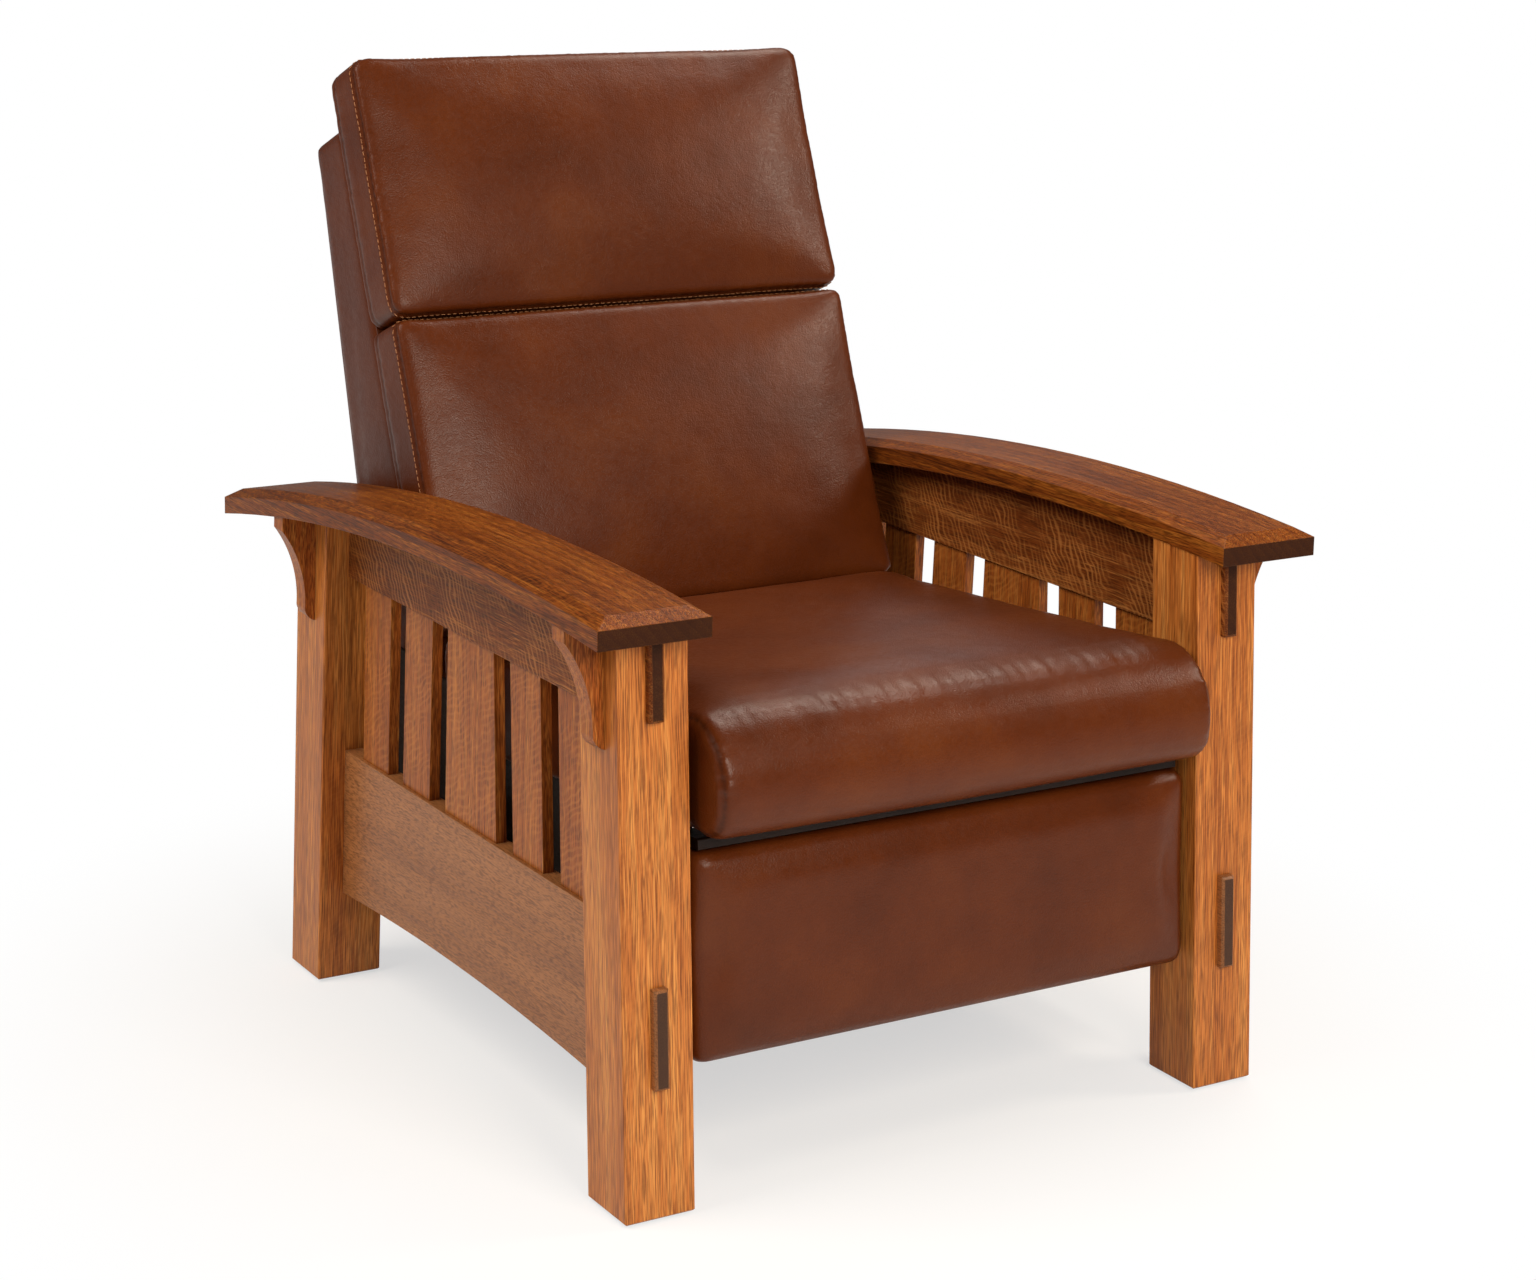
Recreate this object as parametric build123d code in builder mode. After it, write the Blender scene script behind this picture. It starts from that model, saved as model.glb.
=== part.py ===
from build123d import *
import os
from math import sin, cos, radians, atan2, degrees

os.makedirs("parts", exist_ok=True)

# A mission reclining armchair. Lengths are in millimetres, +Z is up, the chair faces -Y,
# and the origin lies on the floor under the middle of the whole chair.

# Driving dimensions of the wooden side frames
leg_side = 76.2
frame_width = 757.6
frame_depth = 802.0
frame_middle_y = -55.8
leg_splay_share = 0.056
edge_round = 2.0
foot_chamfer = 1.5

arm_width = 120.0
arm_side_overhang = 42.0
arm_front_reach = 10.0
arm_rear_reach = 84.0
arm_front_height = 571.0
arm_fall = 53.5
arm_rise = 31.0
arm_edge_height = 19.5
arm_bevel_rise = 8.0
arm_bevel_run = 16.0

rail_thickness = 20.0
upper_rail_rear_depth = 40.5
lower_rail_top = 274.5
lower_rail_end = 104.5
lower_rail_arch = 12.0
tenon_thickness = 16.0
tenon_proud = 9.0
tenon_chamfer = 2.5
upper_tenon_shoulder = 9.0
lower_tenon_low_shoulder = 27.5
lower_tenon_top_shoulder = 44.5

slat_thickness = 12.0
slat_width = 66.0
centre_slat_width = 113.0
slat_space = 38.0
slat_tongue = 12.0
slat_lean_share = 0.8
centre_taper_share = 0.6

corbel_thickness = 24.0
corbel_reach = 40.0
corbel_drop = 120.0
corbel_land = 14.0
corbel_toe_out = 12.0
corbel_toe_drop = 106.0
corbel_hollow_out = 20.0
corbel_hollow_drop = 52.0
corbel_toe_bulge_out = 8.0
corbel_toe_bulge_drop = 115.0

dowel_radius = 5.0
dowel_spread = 22.0
dowel_in_leg = 30.0
dowel_in_arm = 14.0
glide_radius = 14.0
glide_height = 3.0
glide_stem = 12.0
glide_stem_radius = 2.5

# Driving dimensions of the cross members under the seat
stretcher_low = 112.0
stretcher_top = 185.0
stretcher_thickness = 22.0
front_stretcher_back = 331.0
block_side = 36.0
block_height = 58.0
base_flange_width = 32.0
base_screw_share = 0.6

# Driving dimensions of the steel recliner mechanism, in layers side by side
seat_plate_packing = 3.0
plate_thickness = 3.0
layer_pitch = 4.0
bar_radius = 10.0
boss_radius = 14.0
pin_radius = 4.0
pin_running_gap = 0.06
open_pivot_gap = 1.0
pin_head_radius = 7.0
pin_head_thickness = 2.5
pin_collar_gap = 0.2
swing_length = 90.0
swing_lean = 20.0
swing_pivot_height = 203.0
front_swing_back = 346.0
rear_swing_back = 591.0
seat_plate_low = 262.0
seat_plate_drop = 26.0
plate_bolt_drop = 36.0
plate_bolt_backs = (271.0, 461.0, 521.0)

footrest_link = 185.0
footrest_link_lean = 30.0
front_pivot_back = 116.0
front_pivot_height = 328.0
rear_pivot_step = 60.0
rear_pivot_rise = 2.0
bracket_step_back = 15.0
bracket_step_down = 52.0
torque_tube_share = 0.55
torque_tube_radius = 9.5
torque_tube_wall = 2.0

# Driving dimensions of the seat
seat_tilt = 6.0
deck_front_back = 36.0
deck_front_height = 367.0
deck_length = 518.0
seat_side_space = 16.1
seat_rail_thickness = 20.0
seat_side_rail_height = 45.0
seat_front_rail_depth = 45.0
seat_rear_rail_depth = 20.0
seat_end_rail_height = 12.0
spring_recess = 6.0
seat_cushion_side_space = 12.6
seat_cushion_height = 119.0
seat_cushion_overhang = 40.0
seat_cushion_crown = 15.0
seat_cushion_corner = 24.0
end_draw_in = 5.0
end_draw_width = 16.0
end_crown_share = 0.55

# Driving dimensions of the back
back_tilt = 22.5
back_base_back = 611.0
back_base_height = 340.0
back_frame_top = 664.0
back_top_thickness = 78.0
back_taper_share = 0.119
back_cover_thickness = 2.0
back_cover_round = 9.0
back_bottom = 345.0
back_bottom_rail_height = 20.0
back_top_rail_height = 30.0
back_side_space = 19.6
back_cushion_thickness = 80.0
back_cushion_crown = 14.0
back_cushion_corner = 20.0
back_cushion_rear_corner = 6.0
headrest_hook = 12.0
lumbar_low = 78.0
lumbar_top = 421.0
headrest_low = 424.0
headrest_top = 714.0
hinge_back = 623.0
hinge_height = 322.0
bracket_reach = 130.0
bracket_width = 40.0
bracket_behind = 30.0
bracket_bolt_ups = (60.0, 130.0)

# Driving dimensions of the footrest
footrest_side_space = 11.6
footrest_low = 141.0
footrest_height = 200.0
footrest_setback = 11.0
footrest_thickness = 43.0
board_pivot_behind = 21.0
board_pivot_above = 45.0
footrest_board_thickness = 15.0
footrest_board_margin = 6.0
board_fit_gap = 0.3
footrest_crown = 6.0
footrest_corner = 13.0
footrest_rear_corner = 3.0
footrest_flange_width = 25.0
footrest_flange_low = -20.0
footrest_flange_top = 60.0

# Small hardware
spring_wire_radius = 1.9
spring_loop_width = 44.0
spring_pitch = 26.0
seat_spring_count = 5
seat_spring_spread_share = 0.1875
back_spring_count = 4
back_spring_spread_share = 0.231
screw_radius = 2.2
screw_length = 26.0
screw_head_radius = 4.5
screw_head_height = 2.4
screw_head_taper = 25.0
bolt_radius = 3.0
bolt_head_radius = 6.0
bolt_head_height = 3.0
bolt_in_wood = 14.0
short_screw_length = 13.0

soft_gap = 0.5
overrun = 5.0

sides = {"left": -1, "right": 1}
ends = {"front": -1, "rear": 1}

front_y = frame_middle_y - frame_depth / 2
rear_y = frame_middle_y + frame_depth / 2
leg_centre_x = (frame_width - leg_side) / 2
leg_lean = degrees(atan2(leg_splay_share, 1))
leg_inner_x = leg_centre_x - leg_side / 2
arm_outer_x = frame_width / 2 + arm_side_overhang
arm_rear_height = arm_front_height - arm_fall
upper_rail_low = arm_rear_height - upper_rail_rear_depth
arm_thickness = arm_edge_height + arm_bevel_rise
arm_front_y = front_y - arm_front_reach
arm_rear_y = rear_y + arm_rear_reach

seat_rail_outside = leg_inner_x - seat_side_space
seat_rail_inner = seat_rail_outside - seat_rail_thickness
seat_plate_outside = seat_rail_inner - seat_plate_packing
seat_cushion_width = 2 * (leg_inner_x - seat_cushion_side_space)
seat_cushion_back = deck_length + seat_cushion_overhang
back_half_width = leg_inner_x - back_side_space
footrest_width = 2 * (leg_inner_x - footrest_side_space)


def save(piece, label):
    """Labels a finished piece and writes its file."""
    piece.part.label = label
    export_step(piece.part, f"parts/{label}.step")


def leg_face_y(end, height, depth):
    """Y of a leg's outer face at a height, or of a plane at some depth inside it."""
    return frame_middle_y + end * (frame_depth / 2 - leg_splay_share * height - depth)


def along(side, layer):
    """Lowest X of a plate in one of the mechanism's layers, on the left or right."""
    outside = seat_plate_outside - layer * layer_pitch
    return outside - plate_thickness if side > 0 else -outside


def arm_low_points():
    """Front, middle and rear points of the arms' bowed underside, as (Y, Z)."""
    front = (arm_front_y, arm_front_height)
    rear = (arm_rear_y, arm_rear_height)
    middle = ((front[0] + rear[0]) / 2, (front[1] + rear[1]) / 2 + arm_rise)
    return front, middle, rear


def lifted(point, rise):
    """The same (Y, Z) point, higher."""
    return (point[0], point[1] + rise)


def arm_underside_z(y):
    """Height of the arms' underside at a place along the chair, close to the true bow."""
    front, middle, rear = arm_low_points()
    share = (y - front[0]) / (rear[0] - front[0])
    chord = front[1] + share * (rear[1] - front[1])
    return chord + 4 * arm_rise * share * (1 - share)


# The space over the arms' underside, which trims the legs, rails and corbels
low_front, low_middle, low_rear = arm_low_points()
with BuildPart() as arm_space:
    with BuildSketch(Plane.YZ.offset(-arm_outer_x - overrun)):
        with BuildLine():
            ThreePointArc(low_front, low_middle, low_rear)
            Line(low_rear, lifted(low_rear, arm_front_height))
            Line(lifted(low_rear, arm_front_height), lifted(low_front, arm_front_height))
            Line(lifted(low_front, arm_front_height), low_front)
        make_face()
    extrude(amount=2 * (arm_outer_x + overrun))


# Tenon and slat outlines, shared by a piece and by the hole that it fills
tenons = {
    "upper": (upper_rail_low + upper_tenon_shoulder, None),
    "lower": (lower_rail_end + lower_tenon_low_shoulder, lower_rail_top - lower_tenon_top_shoulder),
}


def tenon_heights(rail, end):
    """Low and high Z of a rail's tenon in the front or rear leg."""
    low, high = tenons[rail]
    if high is None:
        high = arm_underside_z(leg_face_y(end, arm_front_height, 0)) - upper_tenon_shoulder
    return low, high


def tenon_outline(rail, end, proud):
    """Corners of a through tenon in (Y, Z), its end parallel to the leaning leg."""
    low, high = tenon_heights(rail, end)
    inside = leg_side + overrun
    return [
        (leg_face_y(end, low, inside), low),
        (leg_face_y(end, low, -proud), low),
        (leg_face_y(end, high, -proud), high),
        (leg_face_y(end, high, inside), high),
    ]


slat_middle_z = (upper_rail_low + lower_rail_top) / 2
slat_low_z = lower_rail_top - slat_tongue
slat_high_z = upper_rail_low + slat_tongue
slat_places = [-2, -1, 0, 1, 2]


def slat_outline(place):
    """Corners of one slat in (Y, Z). Outer slats lean with the legs, the middle one tapers."""
    corners = []
    for z in (slat_low_z, slat_high_z):
        rise = z - slat_middle_z
        if place == 0:
            half = centre_slat_width / 2 - leg_splay_share * centre_taper_share * rise
            near, far = -half, half
        else:
            sign = 1 if place > 0 else -1
            first = centre_slat_width / 2 + slat_space
            inner = first + (abs(place) - 1) * (slat_width + slat_space)
            shift = leg_splay_share * slat_lean_share * rise
            near, far = sign * (inner - shift), sign * (inner + slat_width - shift)
        corners.append((frame_middle_y + near, z, frame_middle_y + far))
    (near_low, z_low, far_low), (near_high, z_high, far_high) = corners
    return [(near_low, z_low), (far_low, z_low), (far_high, z_high), (near_high, z_high)]


def slat_grooves(side):
    """Outlines of all the slats of one side, on the plane of their left faces."""
    with BuildSketch(Plane.YZ.offset(side * leg_centre_x - slat_thickness / 2)) as grooves:
        for place in slat_places:
            Polygon(*slat_outline(place), align=None)
    return grooves.sketch


def tenon_sketch(rail, end, side, proud):
    """A tenon's outline on the plane of its left face."""
    with BuildSketch(Plane.YZ.offset(side * leg_centre_x - tenon_thickness / 2)) as tenon:
        Polygon(*tenon_outline(rail, end, proud), align=None)
    return tenon.sketch


# Dowels that hold each arm on its two legs
with BuildPart() as arm_dowels:
    for side in sides.values():
        for end in ends.values():
            dowel_y = leg_face_y(end, arm_front_height, leg_side / 2)
            joint_z = arm_underside_z(dowel_y)
            for spread in (-dowel_spread, dowel_spread):
                foot = (side * leg_centre_x + spread, dowel_y, joint_z - dowel_in_leg)
                with Locations(foot):
                    Cylinder(
                        dowel_radius,
                        dowel_in_leg + dowel_in_arm,
                        align=(Align.CENTER, Align.CENTER, Align.MIN),
                    )
save(arm_dowels, "arm_dowels")


# Floor glides, each a button with its pin driven into the foot of a leg
with BuildPart() as floor_glides:
    for side in sides.values():
        for end in ends.values():
            glide_y = leg_face_y(end, 0, leg_side / 2)
            with BuildSketch(Plane((side * leg_centre_x, glide_y, 0))):
                Circle(glide_radius)
            extrude(amount=glide_height)
            with BuildSketch(Plane((side * leg_centre_x, glide_y, glide_height))):
                Circle(glide_stem_radius)
            extrude(amount=glide_stem)
save(floor_glides, "floor_glides")


# Legs, square in section, leaning outwards to the front or the rear
for side_name, side in sides.items():
    for end_name, end in ends.items():
        foot_y = leg_face_y(end, glide_height, 0)
        foot_back_y = leg_face_y(end, glide_height, leg_side)
        top_z = arm_front_height + arm_rise + overrun
        with BuildPart() as leg:
            with BuildSketch(Plane.YZ.offset(side * leg_centre_x - leg_side / 2)):
                Polygon(
                    (foot_y, glide_height),
                    (foot_back_y, glide_height),
                    (leg_face_y(end, top_z, leg_side), top_z),
                    (leg_face_y(end, top_z, 0), top_z),
                    align=None,
                )
            extrude(amount=leg_side)
            grain = Axis((0, 0, 0), (0, -end * leg_splay_share, 1))
            fillet(leg.edges().filter_by(grain), radius=edge_round)
            chamfer(leg.faces().sort_by(Axis.Z)[0].edges(), length=foot_chamfer)
            extrude(tenon_sketch("upper", end, side, overrun), amount=tenon_thickness, mode=Mode.SUBTRACT)
            extrude(tenon_sketch("lower", end, side, overrun), amount=tenon_thickness, mode=Mode.SUBTRACT)
            add(arm_space.part, mode=Mode.SUBTRACT)
            add(arm_dowels.part, mode=Mode.SUBTRACT)
            add(floor_glides.part, mode=Mode.SUBTRACT)
        save(leg, f"leg_{end_name}_{side_name}")


# Upper side rails, straight below and bowed above, right under the arms
for side_name, side in sides.items():
    rail_left = side * leg_centre_x - rail_thickness / 2
    over_z = arm_front_height + arm_rise + overrun
    with BuildPart() as upper_rail:
        with BuildSketch(Plane.YZ.offset(rail_left)):
            Polygon(
                (leg_face_y(-1, upper_rail_low, leg_side), upper_rail_low),
                (leg_face_y(1, upper_rail_low, leg_side), upper_rail_low),
                (leg_face_y(1, over_z, leg_side), over_z),
                (leg_face_y(-1, over_z, leg_side), over_z),
                align=None,
            )
        extrude(amount=rail_thickness)
        for end in ends.values():
            extrude(tenon_sketch("upper", end, side, tenon_proud), amount=tenon_thickness)
            tenon_end = upper_rail.faces().sort_by(Axis.Y)[0 if end < 0 else -1]
            chamfer(tenon_end.edges(), length=tenon_chamfer)
        extrude(slat_grooves(side), amount=slat_thickness, mode=Mode.SUBTRACT)
        add(arm_space.part, mode=Mode.SUBTRACT)
    save(upper_rail, f"upper_side_rail_{side_name}")


# Lower side rails, deep boards with a gently arched lower edge
for side_name, side in sides.items():
    rail_left = side * leg_centre_x - rail_thickness / 2
    low_front_corner = (leg_face_y(-1, lower_rail_end, leg_side), lower_rail_end)
    low_rear_corner = (leg_face_y(1, lower_rail_end, leg_side), lower_rail_end)
    top_rear_corner = (leg_face_y(1, lower_rail_top, leg_side), lower_rail_top)
    top_front_corner = (leg_face_y(-1, lower_rail_top, leg_side), lower_rail_top)
    arch_top = (frame_middle_y, lower_rail_end + lower_rail_arch)
    with BuildPart() as lower_rail:
        with BuildSketch(Plane.YZ.offset(rail_left)):
            with BuildLine():
                ThreePointArc(low_front_corner, arch_top, low_rear_corner)
                Polyline(low_rear_corner, top_rear_corner, top_front_corner, low_front_corner)
            make_face()
        extrude(amount=rail_thickness)
        for end in ends.values():
            extrude(tenon_sketch("lower", end, side, tenon_proud), amount=tenon_thickness)
            tenon_end = lower_rail.faces().sort_by(Axis.Y)[0 if end < 0 else -1]
            chamfer(tenon_end.edges(), length=tenon_chamfer)
        extrude(slat_grooves(side), amount=slat_thickness, mode=Mode.SUBTRACT)
    save(lower_rail, f"lower_side_rail_{side_name}")


# Slats, five on each side
for side_name, side in sides.items():
    with BuildPart() as slats:
        extrude(slat_grooves(side), amount=slat_thickness)
    save(slats, f"slats_{side_name}")


# Arms, bowed boards with a wide bevel round the top
for side_name, side in sides.items():
    arm_left = side * (arm_outer_x - arm_width / 2) - arm_width / 2
    high_front = lifted(low_front, arm_thickness)
    high_middle = lifted(low_middle, arm_thickness)
    high_rear = lifted(low_rear, arm_thickness)
    with BuildPart() as arm:
        with BuildSketch(Plane.YZ.offset(arm_left)):
            with BuildLine():
                ThreePointArc(low_front, low_middle, low_rear)
                Line(low_rear, high_rear)
                ThreePointArc(high_rear, high_middle, high_front)
                Line(high_front, low_front)
            make_face()
        extrude(amount=arm_width)
        arm_top = arm.faces().filter_by(GeomType.CYLINDER).sort_by(Axis.Z)[-1]
        chamfer(arm_top.edges(), length=arm_bevel_run, length2=arm_bevel_rise, reference=arm_top)
        add(arm_dowels.part, mode=Mode.SUBTRACT)
    save(arm, f"arm_{side_name}")


# Corbels under the arms, one on the outer face of each leg
for side_name, side in sides.items():
    for end_name, end in ends.items():
        corbel_y = leg_face_y(end, arm_front_height, leg_side / 2)
        corbel_top_z = arm_underside_z(corbel_y)
        corbel_y = leg_face_y(end, corbel_top_z, leg_side / 2)
        grain_up = Vector(0, -end * leg_splay_share, 1).normalized()
        outward = Vector(side, 0, 0)
        corbel_plane = Plane(
            origin=(side * frame_width / 2, corbel_y, corbel_top_z),
            x_dir=outward,
            z_dir=outward.cross(grain_up),
        )
        with BuildPart() as corbel:
            with BuildSketch(corbel_plane):
                with BuildLine():
                    Line((0, -corbel_drop), (0, corbel_land + overrun))
                    Line((0, corbel_land + overrun), (corbel_reach, corbel_land + overrun))
                    Line((corbel_reach, corbel_land + overrun), (corbel_reach, -corbel_land))
                    ThreePointArc(
                        (corbel_reach, -corbel_land),
                        (corbel_hollow_out, -corbel_hollow_drop),
                        (corbel_toe_out, -corbel_toe_drop),
                    )
                    ThreePointArc(
                        (corbel_toe_out, -corbel_toe_drop),
                        (corbel_toe_bulge_out, -corbel_toe_bulge_drop),
                        (0, -corbel_drop),
                    )
                make_face()
            extrude(amount=corbel_thickness / 2, both=True)
            add(arm_space.part, mode=Mode.SUBTRACT)
        save(corbel, f"corbel_{end_name}_{side_name}")


# Stretchers that tie the side frames together, low under the seat
side_rail_inner_x = leg_centre_x - rail_thickness / 2
front_stretcher_y = front_y + front_stretcher_back
stretcher_middle_z = (stretcher_low + stretcher_top) / 2
rear_stretcher_y = leg_face_y(1, stretcher_middle_z, leg_side / 2)
stretcher_height = stretcher_top - stretcher_low
stretchers = {
    "front_stretcher": (side_rail_inner_x, front_stretcher_y),
    "rear_stretcher": (leg_inner_x, rear_stretcher_y),
}
for name, (half_width, middle) in stretchers.items():
    with BuildPart() as stretcher:
        with Locations((0, middle, stretcher_middle_z)):
            Box(2 * half_width, stretcher_thickness, stretcher_height)
        fillet(stretcher.edges().filter_by(Axis.X), radius=edge_round)
    save(stretcher, name)


# Glued corner blocks behind the front stretcher and before the rear one
with BuildPart() as corner_blocks:
    for half_width, middle, step in (
        (side_rail_inner_x, front_stretcher_y, 1),
        (leg_inner_x, rear_stretcher_y, -1),
    ):
        block_y = middle + step * (stretcher_thickness / 2 + block_side / 2)
        for side in sides.values():
            block_x = side * (half_width - block_side / 2)
            with Locations((block_x, block_y, stretcher_middle_z)):
                Box(block_side, block_side, block_height)
save(corner_blocks, "corner_blocks")


# Mechanism layers and pivots. A pivot is named by its (Y, Z) place at rest.
front_swing_y = front_y + front_swing_back
rear_swing_y = front_y + rear_swing_back
swing_reach = swing_length * sin(radians(swing_lean))
swing_height = swing_length * cos(radians(swing_lean))
swing_top_z = swing_pivot_height + swing_height
front_swing_low = (front_swing_y, swing_pivot_height)
rear_swing_low = (rear_swing_y, swing_pivot_height)
front_swing_top = (front_swing_y + swing_reach, swing_top_z)
rear_swing_top = (rear_swing_y + swing_reach, swing_top_z)

front_pivot = (front_y + front_pivot_back, front_pivot_height)
rear_pivot = (front_pivot[0] + rear_pivot_step, front_pivot[1] + rear_pivot_rise)
link_step_y = footrest_link * sin(radians(footrest_link_lean))
link_step_z = footrest_link * cos(radians(footrest_link_lean))
front_link_end = (front_pivot[0] + link_step_y, front_pivot[1] - link_step_z)
rear_link_end = (rear_pivot[0] + link_step_y, rear_pivot[1] - link_step_z)
upper_link_foot = (front_link_end[0] + bracket_step_back, front_link_end[1] - bracket_step_down)

footrest_middle_z = footrest_low + footrest_height / 2
footrest_face_y = leg_face_y(-1, footrest_middle_z, 0) + footrest_setback
board_pivot = (
    footrest_face_y + footrest_thickness + board_pivot_behind,
    footrest_middle_z + board_pivot_above,
)
bracket_pivot = (board_pivot[0] + bracket_step_back, board_pivot[1] - bracket_step_down)
hinge_pivot = (front_y + hinge_back, hinge_height)


def layer_span(layer):
    """Inner and outer distance of a mechanism layer from the chair's middle plane."""
    outside = seat_plate_outside - layer * layer_pitch
    return outside - plate_thickness, outside


def rod(side, place, span, radius):
    """A round bar along X at a (Y, Z) place, between two distances from the middle."""
    inner, outer = span
    with Locations((side * (inner + outer) / 2, place[0], place[1])):
        Cylinder(radius, outer - inner, rotation=(0, 90, 0))


def pivot_pin(side, place, fixed_layer, moving_layer):
    """A headed pin fast in one layer's plate, on which the next layer's plate turns."""
    fixed_in, fixed_out = layer_span(fixed_layer)
    moving_in, moving_out = layer_span(moving_layer)
    if moving_layer > fixed_layer:
        tip = moving_in - pin_collar_gap
        rod(side, place, (fixed_out, fixed_out + pin_head_thickness), pin_head_radius)
        rod(side, place, (tip, fixed_out), pin_radius)
        rod(side, place, (moving_out + pin_collar_gap, fixed_in), pin_head_radius)
        rod(side, place, (tip - pin_head_thickness, tip), pin_head_radius)
    else:
        tip = moving_out + pin_collar_gap
        rod(side, place, (fixed_in - pin_head_thickness, fixed_in), pin_head_radius)
        rod(side, place, (fixed_in, tip), pin_radius)
        rod(side, place, (fixed_out, moving_in - pin_collar_gap), pin_head_radius)
        rod(side, place, (tip, tip + pin_head_thickness), pin_head_radius)


def bar_outline(places, radius):
    """A flat bar's outline round two or more (Y, Z) places."""
    with BuildSketch() as outline:
        with Locations(*places):
            Circle(radius)
        make_hull()
    return outline.sketch


def plate_sketch(side, layer, runs, tight_holes, turning_holes, loose_holes):
    """A steel plate's outline in its layer, with holes for its pins."""
    with BuildSketch(Plane.YZ.offset(along(side, layer))) as plate:
        for run, radius in runs:
            add(bar_outline(run, radius))
        for places, radius in (
            (tight_holes, pin_radius),
            (turning_holes, pin_radius + pin_running_gap),
            (loose_holes, pin_radius + open_pivot_gap),
        ):
            for place in places:
                with Locations(place):
                    Circle(radius, mode=Mode.SUBTRACT)
    return plate.sketch


# Base rails, steel angles lying on both stretchers, with the swing links' lower pivots
base_start_y = front_stretcher_y - stretcher_thickness / 2
base_end_y = rear_stretcher_y + stretcher_thickness / 2
base_inner, base_outer = layer_span(2)
base_flange_top = stretcher_top + plate_thickness
base_height = swing_pivot_height + boss_radius - stretcher_top
screw_x = base_outer - base_flange_width * base_screw_share
base_screws = [(side * screw_x, y) for side in sides.values() for y in (front_stretcher_y, rear_stretcher_y)]
for side_name, side in sides.items():
    with BuildPart() as base_rail:
        with BuildSketch(Plane.XZ.offset(-base_end_y)):
            flange_x = side * (base_outer - base_flange_width / 2)
            with Locations((flange_x, stretcher_top + plate_thickness / 2)):
                Rectangle(base_flange_width, plate_thickness)
            with Locations((side * (base_inner + base_outer) / 2, stretcher_top + base_height / 2)):
                Rectangle(plate_thickness, base_height)
        extrude(amount=base_end_y - base_start_y)
        for place in (front_swing_low, rear_swing_low):
            with Locations((side * (base_inner + base_outer) / 2, place[0], place[1])):
                Cylinder(pin_radius, 2 * plate_thickness, rotation=(0, 90, 0), mode=Mode.SUBTRACT)
        for x, y in base_screws:
            with Locations((x, y, stretcher_top)):
                Cylinder(screw_radius, 2 * base_height, mode=Mode.SUBTRACT)
    save(base_rail, f"base_rail_{side_name}")


def screw(plane, length):
    """A round-headed wood screw. The plane lies under its head and faces away from the wood."""
    with BuildSketch(plane) as head:
        Circle(screw_head_radius)
    extrude(head.sketch, amount=screw_head_height, taper=screw_head_taper)
    with BuildSketch(plane) as shank:
        Circle(screw_radius)
    extrude(shank.sketch, amount=-length)


with BuildPart() as frame_screws:
    for x, y in base_screws:
        screw(Plane((x, y, base_flange_top)), screw_length)
    for half_width, middle, step in (
        (side_rail_inner_x, front_stretcher_y, 1),
        (leg_inner_x, rear_stretcher_y, -1),
    ):
        block_y = middle + step * (stretcher_thickness / 2 + block_side / 2)
        for side in sides.values():
            inner_face = Plane(
                origin=(side * (half_width - block_side), block_y, stretcher_middle_z + block_height / 4),
                z_dir=(-side, 0, 0),
            )
            end_face = Plane(
                origin=(
                    side * (half_width - block_side / 2),
                    block_y + step * block_side / 2,
                    stretcher_middle_z - block_height / 4,
                ),
                z_dir=(0, step, 0),
            )
            screw(inner_face, screw_length)
            screw(end_face, screw_length)
save(frame_screws, "frame_screws")

with BuildPart() as base_pivot_pins:
    for side in sides.values():
        pivot_pin(side, front_swing_low, 2, 1)
        pivot_pin(side, rear_swing_low, 2, 1)
save(base_pivot_pins, "base_pivot_pins")


# Swing links, a front and a rear pair, that carry the seat as it glides forwards
for name, low, top in (
    ("swing_links_front", front_swing_low, front_swing_top),
    ("swing_links_rear", rear_swing_low, rear_swing_top),
):
    with BuildPart() as swing_links:
        for side in sides.values():
            outline = plate_sketch(side, 1, [((low, top), bar_radius)], [], [low, top], [])
            extrude(outline, amount=plate_thickness)
    save(swing_links, name)


# The seat's box of rails, its top lying in a plane that falls towards the rear
deck_y = front_y + deck_front_back
tilt_sin = sin(radians(seat_tilt))
tilt_cos = cos(radians(seat_tilt))


def deck_point(run, rise):
    """(Y, Z) of a place given by its distance along the seat's top plane and over it."""
    return (
        deck_y + run * tilt_cos + rise * tilt_sin,
        deck_front_height - run * tilt_sin + rise * tilt_cos,
    )


def deck_plane(rise):
    """The seat's top plane, or one parallel to it: X to the right, Y to the rear."""
    y, z = deck_point(0, rise)
    return Plane(origin=(0, y, z), x_dir=(1, 0, 0), z_dir=(0, tilt_sin, tilt_cos))


def deck_side_plane(x):
    """A plane across the seat: X along the deck to the rear, Y square up from it."""
    y, z = deck_point(0, 0)
    return Plane(origin=(x, y, z), x_dir=(0, tilt_cos, -tilt_sin), z_dir=(1, 0, 0))


for side_name, side in sides.items():
    with BuildPart() as seat_side_rail:
        with BuildSketch(deck_plane(-seat_side_rail_height)):
            middle = (seat_front_rail_depth + deck_length) / 2
            with Locations((side * (seat_rail_outside - seat_rail_thickness / 2), middle)):
                Rectangle(seat_rail_thickness, deck_length - seat_front_rail_depth)
        extrude(amount=seat_side_rail_height)
        fillet(seat_side_rail.edges().filter_by(Axis((0, 0, 0), (0, tilt_cos, -tilt_sin))), radius=edge_round)
    save(seat_side_rail, f"seat_side_rail_{side_name}")

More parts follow.
